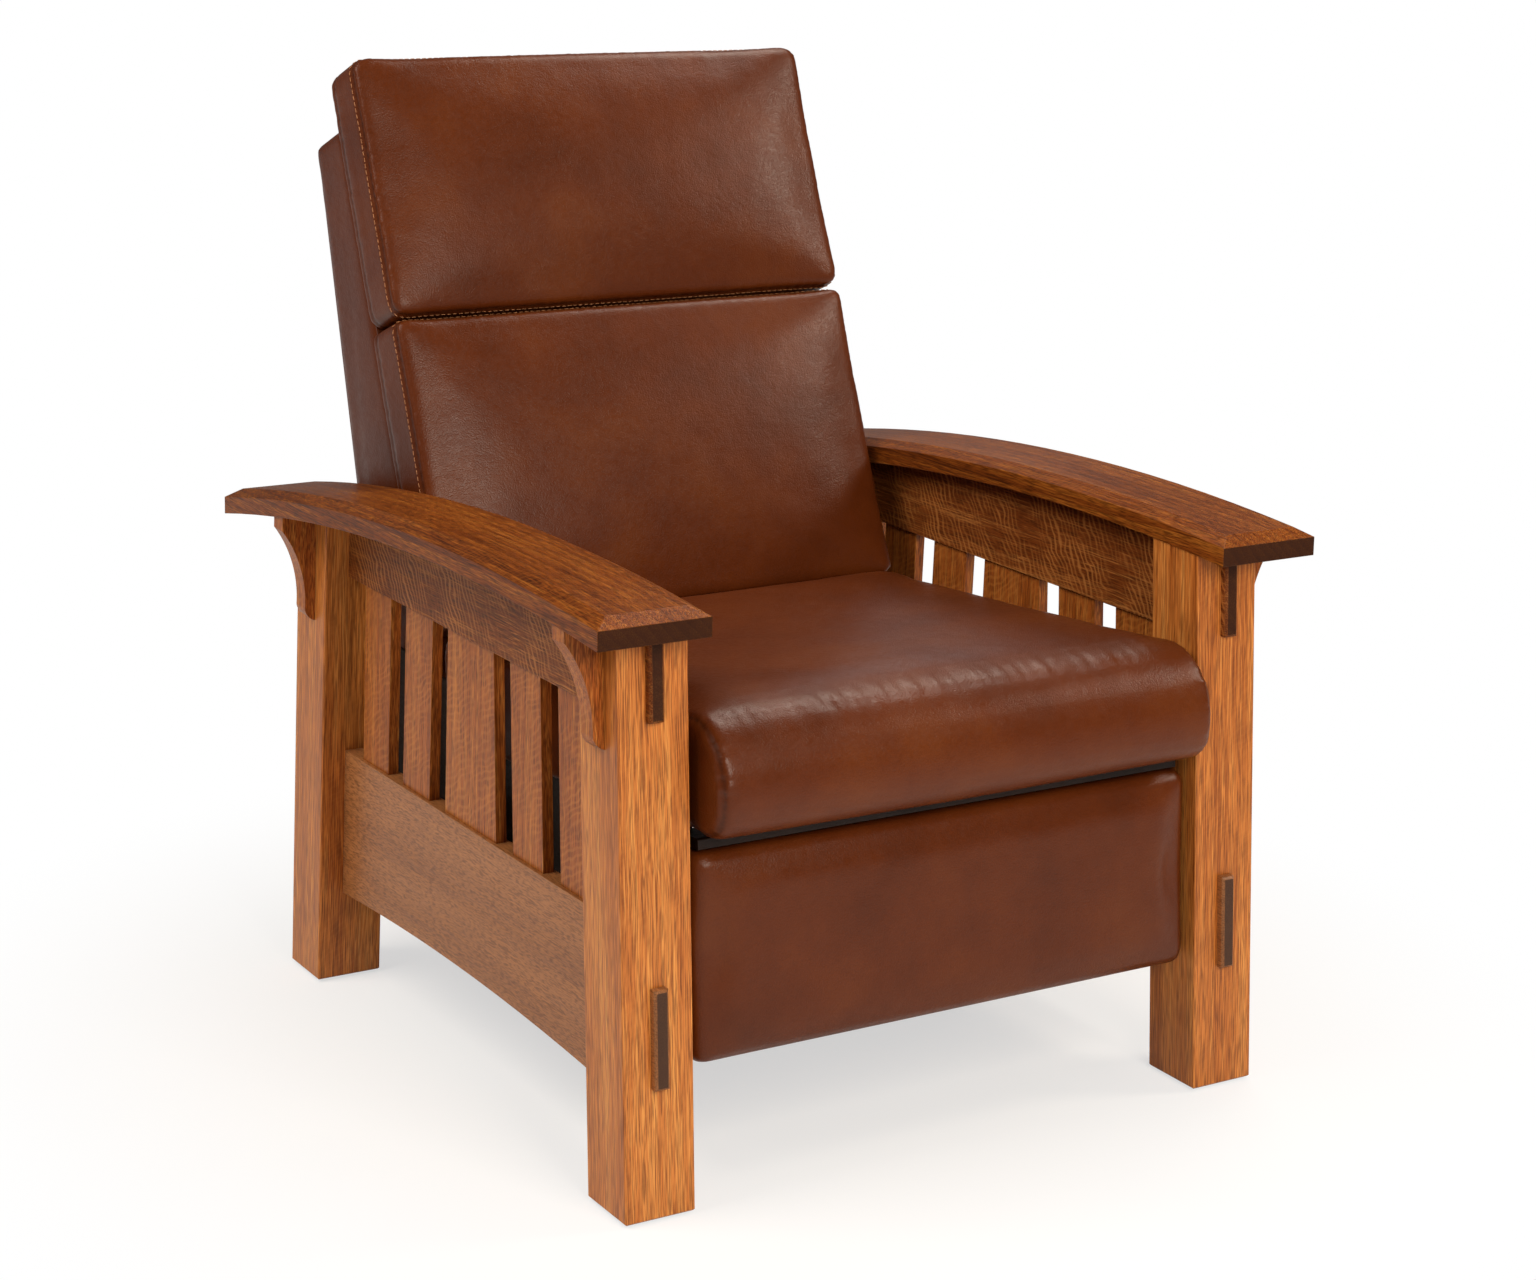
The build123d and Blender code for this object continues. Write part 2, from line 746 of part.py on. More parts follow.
end_rail_low = -spring_recess - seat_end_rail_height
with BuildPart() as seat_front_rail:
    with BuildSketch(deck_plane(end_rail_low)):
        with Locations((0, seat_front_rail_depth / 2)):
            Rectangle(2 * seat_rail_outside, seat_front_rail_depth)
    extrude(amount=seat_end_rail_height)
    fillet(seat_front_rail.edges().filter_by(Axis.X), radius=edge_round)
save(seat_front_rail, "seat_front_rail")

with BuildPart() as seat_rear_rail:
    with BuildSketch(deck_plane(end_rail_low)):
        with Locations((0, deck_length - seat_rear_rail_depth / 2)):
            Rectangle(2 * seat_rail_inner, seat_rear_rail_depth)
    extrude(amount=seat_end_rail_height)
    fillet(seat_rear_rail.edges().filter_by(Axis.X), radius=edge_round)
save(seat_rear_rail, "seat_rear_rail")


def sinuous_wire(plane, x, start, finish):
    """A flat zigzag spring wire with round turns, running along the plane's Y."""
    turns = max(2, 2 * round((finish - start) / spring_pitch / 2))
    pitch = (finish - start) / turns
    turn_radius = pitch / 2
    straight = spring_loop_width / 2 - turn_radius
    slant = turn_radius * sin(radians(45))
    with BuildLine(plane) as route:
        for turn in range(turns + 1):
            y = start + turn * pitch
            way = 1 if turn % 2 == 0 else -1
            Line((x - way * straight, y), (x + way * straight, y))
            if turn < turns:
                tip = (x + way * (straight + turn_radius), y + turn_radius)
                first = (x + way * (straight + slant), y + turn_radius - slant)
                second = (x + way * (straight + slant), y + turn_radius + slant)
                ThreePointArc((x + way * straight, y), first, tip)
                ThreePointArc(tip, second, (x + way * straight, y + pitch))
    wire = route.wires()[0]
    section_plane = Plane(origin=wire @ 0, z_dir=wire % 0)
    with BuildSketch(section_plane) as section:
        Circle(spring_wire_radius)
    sweep(section.sketch, path=wire)


seat_spring_plane = deck_plane(spring_wire_radius - spring_recess)
seat_spring_start = seat_front_rail_depth / 2
seat_spring_end = deck_length - seat_rear_rail_depth / 2
seat_spring_places = [
    (number - (seat_spring_count - 1) / 2) * seat_spring_spread_share * 2 * seat_rail_inner
    for number in range(seat_spring_count)
]
with BuildPart() as seat_springs:
    for x in seat_spring_places:
        sinuous_wire(seat_spring_plane, x, seat_spring_start, seat_spring_end)
save(seat_springs, "seat_springs")


# Steel side plates of the seat, which carry every pivot of the mechanism
def deck_line_z(y):
    """Height of the seat's top plane at a place along the chair."""
    return deck_front_height - (y - deck_y) * tilt_sin / tilt_cos


plate_bolts = [(front_y + back, deck_line_z(front_y + back) - plate_bolt_drop) for back in plate_bolt_backs]
plate_pivots = [front_pivot, rear_pivot, front_swing_top, rear_swing_top, hinge_pivot]
plate_front_y = front_pivot[0]
plate_rear_y = rear_swing_top[0]
plate_front_top = deck_line_z(plate_front_y) - seat_plate_drop
plate_rear_top = deck_line_z(plate_rear_y) - seat_plate_drop
for side_name, side in sides.items():
    with BuildPart() as seat_plate:
        with BuildSketch(Plane.YZ.offset(along(side, 0))):
            Polygon(
                (plate_front_y, plate_front_top - 2 * bar_radius),
                (front_swing_top[0] - swing_length, seat_plate_low),
                (plate_rear_y, seat_plate_low),
                (plate_rear_y, plate_rear_top),
                (plate_front_y, plate_front_top),
                align=None,
            )
            add(bar_outline([front_pivot, rear_pivot], boss_radius))
            add(bar_outline([rear_swing_top, hinge_pivot], boss_radius))
            with Locations(*plate_pivots):
                Circle(pin_radius, mode=Mode.SUBTRACT)
            with Locations(*plate_bolts):
                Circle(bolt_radius, mode=Mode.SUBTRACT)
        extrude(amount=plate_thickness)
    save(seat_plate, f"seat_plate_{side_name}")

with BuildPart() as seat_pivot_pins:
    for side in sides.values():
        for place in plate_pivots:
            pivot_pin(side, place, 0, 1)
save(seat_pivot_pins, "seat_pivot_pins")

with BuildPart() as seat_plate_bolts:
    plate_in, plate_out = layer_span(0)
    for side in sides.values():
        for place in plate_bolts:
            rod(side, place, (plate_in - bolt_head_height, plate_in), bolt_head_radius)
            rod(side, place, (plate_in, seat_rail_inner + bolt_in_wood), bolt_radius)
            rod(side, place, (plate_out, seat_rail_inner), bolt_head_radius)
save(seat_plate_bolts, "seat_plate_bolts")


# Footrest linkage, two rows of parallel links that carry the board out and turn it level
with BuildPart() as footrest_front_links:
    for side in sides.values():
        runs = [((front_pivot, front_link_end, upper_link_foot), bar_radius)]
        outline = plate_sketch(side, 1, runs, [front_link_end, upper_link_foot], [front_pivot], [])
        extrude(outline, amount=plate_thickness)
save(footrest_front_links, "footrest_front_links")

with BuildPart() as footrest_front_link_pins:
    for side in sides.values():
        pivot_pin(side, front_link_end, 1, 2)
        pivot_pin(side, upper_link_foot, 1, 2)
save(footrest_front_link_pins, "footrest_front_link_pins")

tube_y = front_pivot[0] + torque_tube_share * (front_link_end[0] - front_pivot[0])
tube_z = front_pivot[1] + torque_tube_share * (front_link_end[1] - front_pivot[1])
tube_length = 2 * layer_span(1)[0]
with BuildPart() as footrest_torque_tube:
    with Locations((0, tube_y, tube_z)):
        Cylinder(torque_tube_radius, tube_length, rotation=(0, 90, 0))
        Cylinder(torque_tube_radius - torque_tube_wall, tube_length, rotation=(0, 90, 0), mode=Mode.SUBTRACT)
save(footrest_torque_tube, "footrest_torque_tube")

with BuildPart() as footrest_rear_links:
    for side in sides.values():
        runs = [((rear_pivot, rear_link_end), bar_radius)]
        outline = plate_sketch(side, 1, runs, [rear_link_end], [rear_pivot], [])
        extrude(outline, amount=plate_thickness)
save(footrest_rear_links, "footrest_rear_links")

with BuildPart() as footrest_rear_link_pins:
    for side in sides.values():
        pivot_pin(side, rear_link_end, 1, 2)
save(footrest_rear_link_pins, "footrest_rear_link_pins")

with BuildPart() as footrest_couplers:
    for side in sides.values():
        runs = [((rear_link_end, front_link_end), bar_radius), ((front_link_end, board_pivot), bar_radius)]
        extrude(
            plate_sketch(side, 2, runs, [board_pivot], [front_link_end], [rear_link_end]),
            amount=plate_thickness,
        )
save(footrest_couplers, "footrest_couplers")

with BuildPart() as footrest_coupler_pins:
    for side in sides.values():
        pivot_pin(side, board_pivot, 2, 1)
save(footrest_coupler_pins, "footrest_coupler_pins")

with BuildPart() as footrest_upper_links:
    for side in sides.values():
        run = (upper_link_foot, bracket_pivot)
        extrude(
            plate_sketch(side, 2, [(run, bar_radius)], [], [upper_link_foot], [bracket_pivot]),
            amount=plate_thickness,
        )
save(footrest_upper_links, "footrest_upper_links")


# The footrest, a padded board that hangs between the front legs and leans as they do
footrest_sin = sin(radians(leg_lean))
footrest_cos = cos(radians(leg_lean))


def footrest_point(up, forward):
    """(Y, Z) of a place given by its distance up from the footrest's middle and before its face."""
    return (
        footrest_face_y + up * footrest_sin - forward * footrest_cos,
        footrest_middle_z + up * footrest_cos + forward * footrest_sin,
    )


def footrest_face_plane(forward):
    """A plane parallel to the footrest's face: X to the right, Y up the board."""
    y, z = footrest_point(0, forward)
    return Plane(origin=(0, y, z), x_dir=(1, 0, 0), z_dir=(0, -footrest_cos, footrest_sin))


def footrest_side_plane(x):
    """A plane across the footrest's back: X up the board, Y forwards from its back."""
    y, z = footrest_point(0, -footrest_thickness)
    return Plane(origin=(x, y, z), x_dir=(0, footrest_sin, footrest_cos), z_dir=(1, 0, 0))


board_width = footrest_width - 2 * footrest_board_margin
board_height = footrest_height - 2 * footrest_board_margin
with BuildPart() as footrest_board:
    with BuildSketch(footrest_face_plane(-footrest_thickness)):
        Rectangle(board_width, board_height)
    extrude(amount=footrest_board_thickness)
save(footrest_board, "footrest_board")

flange_middle = (footrest_flange_low + footrest_flange_top) / 2
flange_outer = layer_span(1)[1]
bracket_screw_places = [
    (side * (flange_outer - footrest_flange_width / 2 - plate_thickness), up)
    for side in sides.values()
    for up in (footrest_flange_low + bar_radius, footrest_flange_top - bar_radius)
]
with BuildPart() as footrest_brackets:
    for side in sides.values():
        with BuildSketch(Plane.YZ.offset(along(side, 1))) as web:
            with Locations(board_pivot, bracket_pivot):
                Circle(bar_radius)
            Polygon(
                footrest_point(footrest_flange_low, -footrest_thickness),
                footrest_point(footrest_flange_top, -footrest_thickness),
                board_pivot,
                bracket_pivot,
                align=None,
            )
            make_hull()
            with Locations(board_pivot):
                Circle(pin_radius + pin_running_gap, mode=Mode.SUBTRACT)
            with Locations(bracket_pivot):
                Circle(pin_radius, mode=Mode.SUBTRACT)
        extrude(web.sketch, amount=plate_thickness)
        with BuildSketch(footrest_face_plane(-footrest_thickness - plate_thickness)) as flange:
            with Locations((side * (flange_outer - footrest_flange_width / 2), flange_middle)):
                Rectangle(footrest_flange_width, footrest_flange_top - footrest_flange_low)
        extrude(flange.sketch, amount=plate_thickness)
    with BuildSketch(footrest_face_plane(-footrest_thickness - plate_thickness)) as screw_holes:
        with Locations(*bracket_screw_places):
            Circle(screw_radius)
    extrude(screw_holes.sketch, amount=plate_thickness, mode=Mode.SUBTRACT)
save(footrest_brackets, "footrest_brackets")

with BuildPart() as footrest_bracket_pins:
    for side in sides.values():
        pivot_pin(side, bracket_pivot, 1, 2)
save(footrest_bracket_pins, "footrest_bracket_pins")

with BuildPart() as footrest_bracket_screws:
    for x, up in bracket_screw_places:
        y, z = footrest_point(up, -footrest_thickness - plate_thickness)
        screw(Plane(origin=(x, y, z), z_dir=(0, footrest_cos, -footrest_sin)), short_screw_length)
save(footrest_bracket_screws, "footrest_bracket_screws")


def box_outline(plane, low, high, depth, inset, crown, corner, rear_corner):
    """A cushion's section: a box with a bowed front, round front corners and tighter rear ones."""
    near = low + inset
    far = high - inset
    front = depth - inset
    with BuildSketch(plane) as outline:
        with BuildLine():
            Line((near, 0), (far, 0))
            Line((far, 0), (far, front))
            ThreePointArc((far, front), ((near + far) / 2, front + crown), (near, front))
            Line((near, front), (near, 0))
        make_face()
        fillet(outline.vertices().sort_by(Axis.Y)[2:], radius=corner)
        fillet(outline.vertices().sort_by(Axis.Y)[:2], radius=rear_corner)
    return outline.sketch


def cushion(section, half_width, crown):
    """A padded body along X: section(x, inset, crown) gives its outline. The ends draw in."""
    shoulder = half_width - end_draw_width
    end_crown = crown * end_crown_share
    loft([section(-shoulder, 0, end_crown), section(0, 0, crown), section(shoulder, 0, end_crown)])
    for side in sides.values():
        loft(
            [section(side * shoulder, 0, end_crown), section(side * half_width, end_draw_in, end_crown)],
            ruled=True,
        )


def pad_section(x, inset, crown):
    """The footrest pad's section at a place across the chair."""
    return box_outline(
        footrest_side_plane(x),
        -footrest_height / 2,
        footrest_height / 2,
        footrest_thickness,
        inset,
        crown,
        footrest_corner,
        footrest_rear_corner,
    )


with BuildPart() as footrest_pad:
    cushion(pad_section, footrest_width / 2, footrest_crown)
    with BuildSketch(footrest_face_plane(-footrest_thickness - overrun)) as pocket:
        Rectangle(board_width + 2 * board_fit_gap, board_height + 2 * board_fit_gap)
    extrude(pocket.sketch, amount=footrest_board_thickness + overrun, mode=Mode.SUBTRACT)
save(footrest_pad, "footrest_pad")


# Seat cushion, boxed, with a fully rounded front
def seat_section(x, inset, crown):
    """The seat cushion's section at a place across the chair."""
    low = soft_gap + inset
    high = seat_cushion_height - inset
    nose = (high - low) / 2
    middle = (high + low) / 2
    nose_slant = nose * sin(radians(45))
    rear = seat_cushion_back - inset
    with BuildSketch(deck_side_plane(x)) as outline:
        with BuildLine():
            ThreePointArc((0, high), (-nose_slant, middle + nose_slant), (-nose - crown / 2, middle))
            ThreePointArc((-nose - crown / 2, middle), (-nose_slant, middle - nose_slant), (0, low))
            Line((0, low), (rear, low))
            Line((rear, low), (rear, high))
            ThreePointArc((rear, high), (rear / 2, high + crown), (0, high))
        make_face()
        fillet(outline.vertices().sort_by(Axis.X)[-2:], radius=seat_cushion_corner)
    return outline.sketch


with BuildPart() as seat_cushion:
    cushion(seat_section, seat_cushion_width / 2, seat_cushion_crown)
save(seat_cushion, "seat_cushion")


# The back, a wedge-shaped frame that leans with the cushions
back_y = front_y + back_base_back
back_z = back_base_height
back_sin = sin(radians(back_tilt))
back_cos = cos(radians(back_tilt))


def back_point(up, forward):
    """(Y, Z) of a place given by its distance up the back's front plane and before it."""
    return (
        back_y + up * back_sin - forward * back_cos,
        back_z + up * back_cos + forward * back_sin,
    )


def back_up_at(height, forward):
    """Distance up the back at which a line parallel to its front plane reaches a height."""
    return (height - back_z - forward * back_sin) / back_cos


def back_side_plane(x, forward):
    """A plane across the back: X up its slope, Y forwards from its front plane or before it."""
    y, z = back_point(0, forward)
    return Plane(origin=(x, y, z), x_dir=(0, back_sin, back_cos), z_dir=(1, 0, 0))


def back_face_plane(forward):
    """A plane parallel to the back's front plane: X to the right, Y up the slope."""
    y, z = back_point(0, forward)
    return Plane(origin=(0, y, z), x_dir=(1, 0, 0), z_dir=(0, -back_cos, back_sin))


def wedge_thickness(up):
    """Thickness of the back's frame at some distance up its slope."""
    return back_top_thickness + back_taper_share * (back_frame_top - up)


stile_outer = back_half_width - back_cover_thickness
stile_inner = layer_span(1)[1]
stile_thickness = stile_outer - stile_inner


def back_wedge(growth):
    """The frame's wedge, open to the front and below, grown by a skin on its other faces."""
    top = back_frame_top + growth
    rear_foot_up = back_frame_top - overrun
    for _ in range(2 * len(sides) * len(ends)):
        rear_foot_up = back_up_at(back_bottom, -wedge_thickness(rear_foot_up) - growth)
    with BuildSketch(back_side_plane(-stile_outer - growth, 0)) as wedge:
        Polygon(
            (back_up_at(back_bottom, 0), 0),
            (top, 0),
            (top, -wedge_thickness(top) - growth),
            (rear_foot_up, -wedge_thickness(rear_foot_up) - growth),
            align=None,
        )
    return wedge.sketch


def round_wedge(builder, radius):
    """Rounds the wedge's rear and top corners, but not its front and lower rims."""
    rear = builder.faces().sort_by(Axis.Y)[-1]
    top = builder.faces().sort_by(Axis.Z)[-1]
    kept = [rear.edges().sort_by(Axis.Z)[0], top.edges().sort_by(Axis.Y)[0]]
    shared = top.edges().sort_by(Axis.Y)[-1]
    chosen = [edge for edge in rear.edges() + top.edges() if edge not in kept and edge != shared]
    fillet(chosen + [shared], radius=radius)


with BuildPart() as back_core:
    extrude(back_wedge(0), amount=2 * stile_outer)
    round_wedge(back_core, back_cover_round - back_cover_thickness)

with BuildPart() as back_cover:
    extrude(back_wedge(back_cover_thickness), amount=2 * back_half_width)
    round_wedge(back_cover, back_cover_round)
    add(back_core.part, mode=Mode.SUBTRACT)
save(back_cover, "back_cover")


def bracket_sketch(side):
    """The back bracket's outline, from the hinge up onto the stile."""
    with BuildSketch(Plane.YZ.offset(along(side, 1))) as outline:
        with Locations(hinge_pivot):
            Circle(boss_radius)
        with Locations(back_point(bracket_reach, -bracket_behind)):
            Circle(bracket_width / 2)
        make_hull()
    return outline.sketch


with BuildPart() as back_brackets:
    for side in sides.values():
        extrude(bracket_sketch(side), amount=plate_thickness)
        for place, radius in (
            (hinge_pivot, pin_radius + pin_running_gap),
            (back_point(bracket_bolt_ups[0], -bracket_behind), bolt_radius),
            (back_point(bracket_bolt_ups[1], -bracket_behind), bolt_radius),
        ):
            with Locations((side * stile_inner, place[0], place[1])):
                Cylinder(radius, 2 * layer_pitch, rotation=(0, 90, 0), mode=Mode.SUBTRACT)
save(back_brackets, "back_brackets")

with BuildPart() as back_bracket_bolts:
    for side in sides.values():
        for up in bracket_bolt_ups:
            place = back_point(up, -bracket_behind)
            bracket_in, bracket_out = layer_span(1)
            rod(side, place, (bracket_in - bolt_head_height, bracket_in), bolt_head_radius)
            rod(side, place, (bracket_in, bracket_out + bolt_in_wood), bolt_radius)
save(back_bracket_bolts, "back_bracket_bolts")

for side_name, side in sides.items():
    with BuildPart() as back_stile:
        add(back_core.part)
        with BuildSketch(Plane.YZ.offset(stile_inner if side > 0 else -stile_outer)) as slab:
            with Locations(back_point(back_frame_top / 2, 0)):
                Rectangle(2 * back_frame_top, 2 * back_frame_top)
        extrude(slab.sketch, amount=stile_thickness, mode=Mode.INTERSECT)
    save(back_stile, f"back_stile_{side_name}")

deep = wedge_thickness(0) + overrun
with BuildPart() as back_top_rail:
    with BuildSketch(back_side_plane(-stile_inner, 0)) as board:
        Polygon(
            (back_frame_top - back_top_rail_height, -spring_recess),
            (back_frame_top + overrun, -spring_recess),
            (back_frame_top + overrun, -deep),
            (back_frame_top - back_top_rail_height, -deep),
            align=None,
        )
    extrude(board.sketch, amount=2 * stile_inner)
    add(back_core.part, mode=Mode.INTERSECT)
save(back_top_rail, "back_top_rail")

bottom_rail_top = back_bottom + back_bottom_rail_height
with BuildPart() as back_bottom_rail:
    with BuildSketch(back_side_plane(-stile_inner, 0)) as board:
        Polygon(
            (back_up_at(back_bottom, -spring_recess), -spring_recess),
            (back_up_at(bottom_rail_top, -spring_recess), -spring_recess),
            (back_up_at(bottom_rail_top, -deep), -deep),
            (back_up_at(back_bottom, -deep), -deep),
            align=None,
        )
    extrude(board.sketch, amount=2 * stile_inner)
    add(back_core.part, mode=Mode.INTERSECT)
    for side in sides.values():
        extrude(bracket_sketch(side), amount=plate_thickness, mode=Mode.SUBTRACT)
save(back_bottom_rail, "back_bottom_rail")

back_spring_start = back_up_at(back_bottom + back_bottom_rail_height / 2, -spring_recess)
back_spring_end = back_frame_top - back_top_rail_height / 2
back_spring_plane = back_face_plane(spring_wire_radius - spring_recess)
with BuildPart() as back_springs:
    for number in range(back_spring_count):
        x = (number - (back_spring_count - 1) / 2) * back_spring_spread_share * 2 * stile_inner
        sinuous_wire(back_spring_plane, x, back_spring_start, back_spring_end)
save(back_springs, "back_springs")


# Back cushions, a lumbar cushion and a headrest that hooks over the frame's top
def lumbar_section(x, inset, crown):
    """The lumbar cushion's section at a place across the chair."""
    return box_outline(
        back_side_plane(x, soft_gap),
        lumbar_low,
        lumbar_top,
        back_cushion_thickness - soft_gap,
        inset,
        crown,
        back_cushion_corner,
        back_cushion_rear_corner,
    )


with BuildPart() as lumbar_cushion:
    cushion(lumbar_section, back_half_width, back_cushion_crown)
save(lumbar_cushion, "lumbar_cushion")


def headrest_section(x, inset, crown):
    """The headrest's section: a box that hooks a little way over the top of the frame."""
    near = headrest_low + inset
    far = headrest_top - inset
    front = back_cushion_thickness - inset
    step = back_frame_top + 2 * back_cover_thickness + inset
    with BuildSketch(back_side_plane(x, 0)) as outline:
        with BuildLine():
            Polyline((near, front), (near, soft_gap), (step, soft_gap), (step, -headrest_hook + inset))
            Polyline((step, -headrest_hook + inset), (far, -headrest_hook + inset), (far, front))
            ThreePointArc((far, front), ((near + far) / 2, front + crown), (near, front))
        make_face()
        fillet(outline.vertices().sort_by(Axis.Y)[-2:], radius=back_cushion_corner)
        fillet(outline.vertices().sort_by(Axis.Y)[:2].sort_by(Axis.X)[-1], radius=back_cushion_corner)
    return outline.sketch


with BuildPart() as headrest_cushion:
    cushion(headrest_section, back_half_width, back_cushion_crown)
save(headrest_cushion, "headrest_cushion")
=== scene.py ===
# %% Load the measured chair
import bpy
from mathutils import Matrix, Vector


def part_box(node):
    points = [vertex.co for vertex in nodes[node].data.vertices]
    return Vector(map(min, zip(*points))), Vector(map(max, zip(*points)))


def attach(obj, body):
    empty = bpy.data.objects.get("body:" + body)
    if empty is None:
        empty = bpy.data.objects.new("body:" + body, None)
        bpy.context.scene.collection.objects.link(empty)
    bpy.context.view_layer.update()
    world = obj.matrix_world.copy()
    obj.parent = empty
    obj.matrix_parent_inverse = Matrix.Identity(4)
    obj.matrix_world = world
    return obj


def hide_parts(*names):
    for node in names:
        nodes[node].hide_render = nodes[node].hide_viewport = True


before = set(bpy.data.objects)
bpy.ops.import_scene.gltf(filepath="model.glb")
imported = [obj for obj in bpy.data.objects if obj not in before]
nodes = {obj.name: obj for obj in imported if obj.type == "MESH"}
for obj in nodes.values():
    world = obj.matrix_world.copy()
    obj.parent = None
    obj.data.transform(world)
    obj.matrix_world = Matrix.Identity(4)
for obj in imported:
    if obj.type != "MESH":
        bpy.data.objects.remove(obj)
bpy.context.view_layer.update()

# %% [markdown]
# # A mission reclining armchair
# The wooden frame and the steel mechanism come measured from the CAD model. This lesson
# gives them their finishes, and makes every soft piece anew: the seat, lumbar and head
# cushions, the leather-covered back and the footrest pad, with their seams and stitches.

# %% Tools and units
from math import atan, cos, radians, sin, tan

import bpy
import bmesh
import numpy as np
from mathutils import Matrix, Vector, noise
from mathutils.bvhtree import BVHTree
from mathutils.kdtree import KDTree

mm = 0.001
X, Y, Z = 0, 1, 2
scene = bpy.context.scene
print(len(nodes), "measured nodes")

# %% [markdown]
# ## The camera
# A product photograph of furniture is taken from a little above the seat with a long lens,
# so upright legs stay nearly upright. The lens is about 75 mm on a 36 mm sensor. The frame
# is shifted down by about a sixth of its width, which keeps the chair in the middle without
# tipping the camera further down.

# %% Camera at the photograph's viewing angle
camera_place = Vector((-1.7424, -2.9137, 1.3301))
camera_yaw = radians(-31.45)
camera_pitch = radians(10.69)
camera_roll = radians(-1.15)
bpy.ops.object.select_all(action="DESELECT")
bpy.ops.object.camera_add(location=camera_place)
camera = bpy.context.object
camera.name = "photo_camera"
ahead = Vector((
    -sin(camera_yaw) * cos(camera_pitch),
    cos(camera_yaw) * cos(camera_pitch),
    -sin(camera_pitch),
))
level = Vector((cos(camera_yaw), sin(camera_yaw), 0.0))
under = ahead.cross(level)
camera_x = level * cos(camera_roll) + under * sin(camera_roll)
camera_y = level * sin(camera_roll) - under * cos(camera_roll)
camera.rotation_euler = Matrix((camera_x, camera_y, -ahead)).transposed().to_euler()
camera.data.lens = 74.61
camera.data.sensor_width = 36.0
camera.data.shift_y = -0.1562
camera.data.clip_end = 50.0
scene.camera = camera
print("camera at", tuple(round(v, 3) for v in camera_place))

# %% [markdown]
# ## Colours and shader nodes
# Colours are written as the eye reads them on a screen, in sRGB hex, and turned to linear
# light once. One small function adds any shader node with its settings and its links, so a
# material reads from top to bottom like a recipe.

# %% Helpers for colours and shader nodes
def linear(code):
    """An sRGB hex colour as the linear colour that the renderer works in."""
    channels = [int(code[i : i + 2], 16) / 255 for i in (0, 2, 4)]
    straight = [c / 12.92 if c <= 0.04045 else ((c + 0.055) / 1.055) ** 2.4 for c in channels]
    return (*straight, 1.0)


def new_material(name, **constants):
    """A node material, and its surface shader with constants set by socket name."""
    material = bpy.data.materials.new(name)
    material.use_nodes = True
    shader = material.node_tree.nodes["Principled BSDF"]
    for key, value in constants.items():
        shader.inputs[key.replace("_", " ")].default_value = value
    return material, shader


def add_node(tree, kind, inputs=None, stops=None, **settings):
    """Adds one shader node. Inputs go by socket number or name, as values or other nodes'
    outputs. Stops are a colour ramp's places and colours: lowest, highest, then the rest."""
    made = tree.nodes.new(kind)
    for key, value in settings.items():
        setattr(made, key, value)
    for key, value in (inputs or {}).items():
        if isinstance(value, bpy.types.NodeSocket):
            tree.links.new(value, made.inputs[key])
        else:
            made.inputs[key].default_value = value
    for number, (position, code) in enumerate(stops or ()):
        elements = made.color_ramp.elements
        element = elements[number] if number < 2 else elements.new(position)
        element.position = position
        element.color = linear(code)
    return made


print("mid grey in linear light:", round(linear("808080")[0], 3))

# %% [markdown]
# ## Floor
# The photograph's background is plain white. The floor here is matt white paint near the
# chair, where it takes a soft shadow, and turns to plain white further out. It glows only
# for the camera, and less for reflections, so it adds no light to the chair.

# %% Floor that runs out to white
floor_size = 24.0
paint_reach = 0.35
white_reach = 1.0
white_under_chair = 0.6
mirrored_share = 0.4
floor_material, floor_shader = new_material("matt_white_studio_paint", Roughness=0.9)
floor_shader.inputs["Specular IOR Level"].default_value = 0.1
floor_shader.inputs["Base Color"].default_value = linear("f7f6f4")
floor_tree = floor_material.node_tree
floor_place = add_node(floor_tree, "ShaderNodeTexCoord")
from_chair = add_node(floor_tree, "ShaderNodeVectorMath", {
    0: floor_place.outputs["Object"],
}, operation="LENGTH")
white_out = add_node(floor_tree, "ShaderNodeMapRange", {
    "Value": from_chair.outputs["Value"], "From Min": paint_reach, "From Max": white_reach,
    "To Min": white_under_chair, "To Max": 1.0,
}, interpolation_type="SMOOTHSTEP")
floor_ray = add_node(floor_tree, "ShaderNodeLightPath")
mirrored = add_node(floor_tree, "ShaderNodeMath", {
    0: floor_ray.outputs["Is Glossy Ray"], 1: mirrored_share,
}, operation="MULTIPLY")
looked_at = add_node(floor_tree, "ShaderNodeMath", {
    0: floor_ray.outputs["Is Camera Ray"], 1: mirrored.outputs[0],
}, operation="MAXIMUM")
paper = add_node(floor_tree, "ShaderNodeEmission", {"Color": (1, 1, 1, 1), "Strength": 1.0})
spread_out = add_node(floor_tree, "ShaderNodeMath", {
    0: white_out.outputs["Result"], 1: looked_at.outputs[0],
}, operation="MULTIPLY")
faded = add_node(floor_tree, "ShaderNodeMixShader", {
    0: spread_out.outputs[0], 1: floor_shader.outputs[0], 2: paper.outputs[0],
})
floor_output = floor_tree.nodes["Material Output"]
floor_tree.links.new(faded.outputs[0], floor_output.inputs["Surface"])
bpy.ops.object.select_all(action="DESELECT")
bpy.ops.mesh.primitive_plane_add(size=floor_size, location=(0, 0, 0))
floor = bpy.context.object
floor.name = "studio_floor"
floor.data.materials.append(floor_material)
print("the floor is plain white beyond", white_reach, "m")

# %% [markdown]
# ## The room
# The world behind the floor is plain white to the camera. To the chair it is a weak warm
# light from all sides, half as strong in reflections, with a faint white wall behind the
# chair that only shiny faces show.

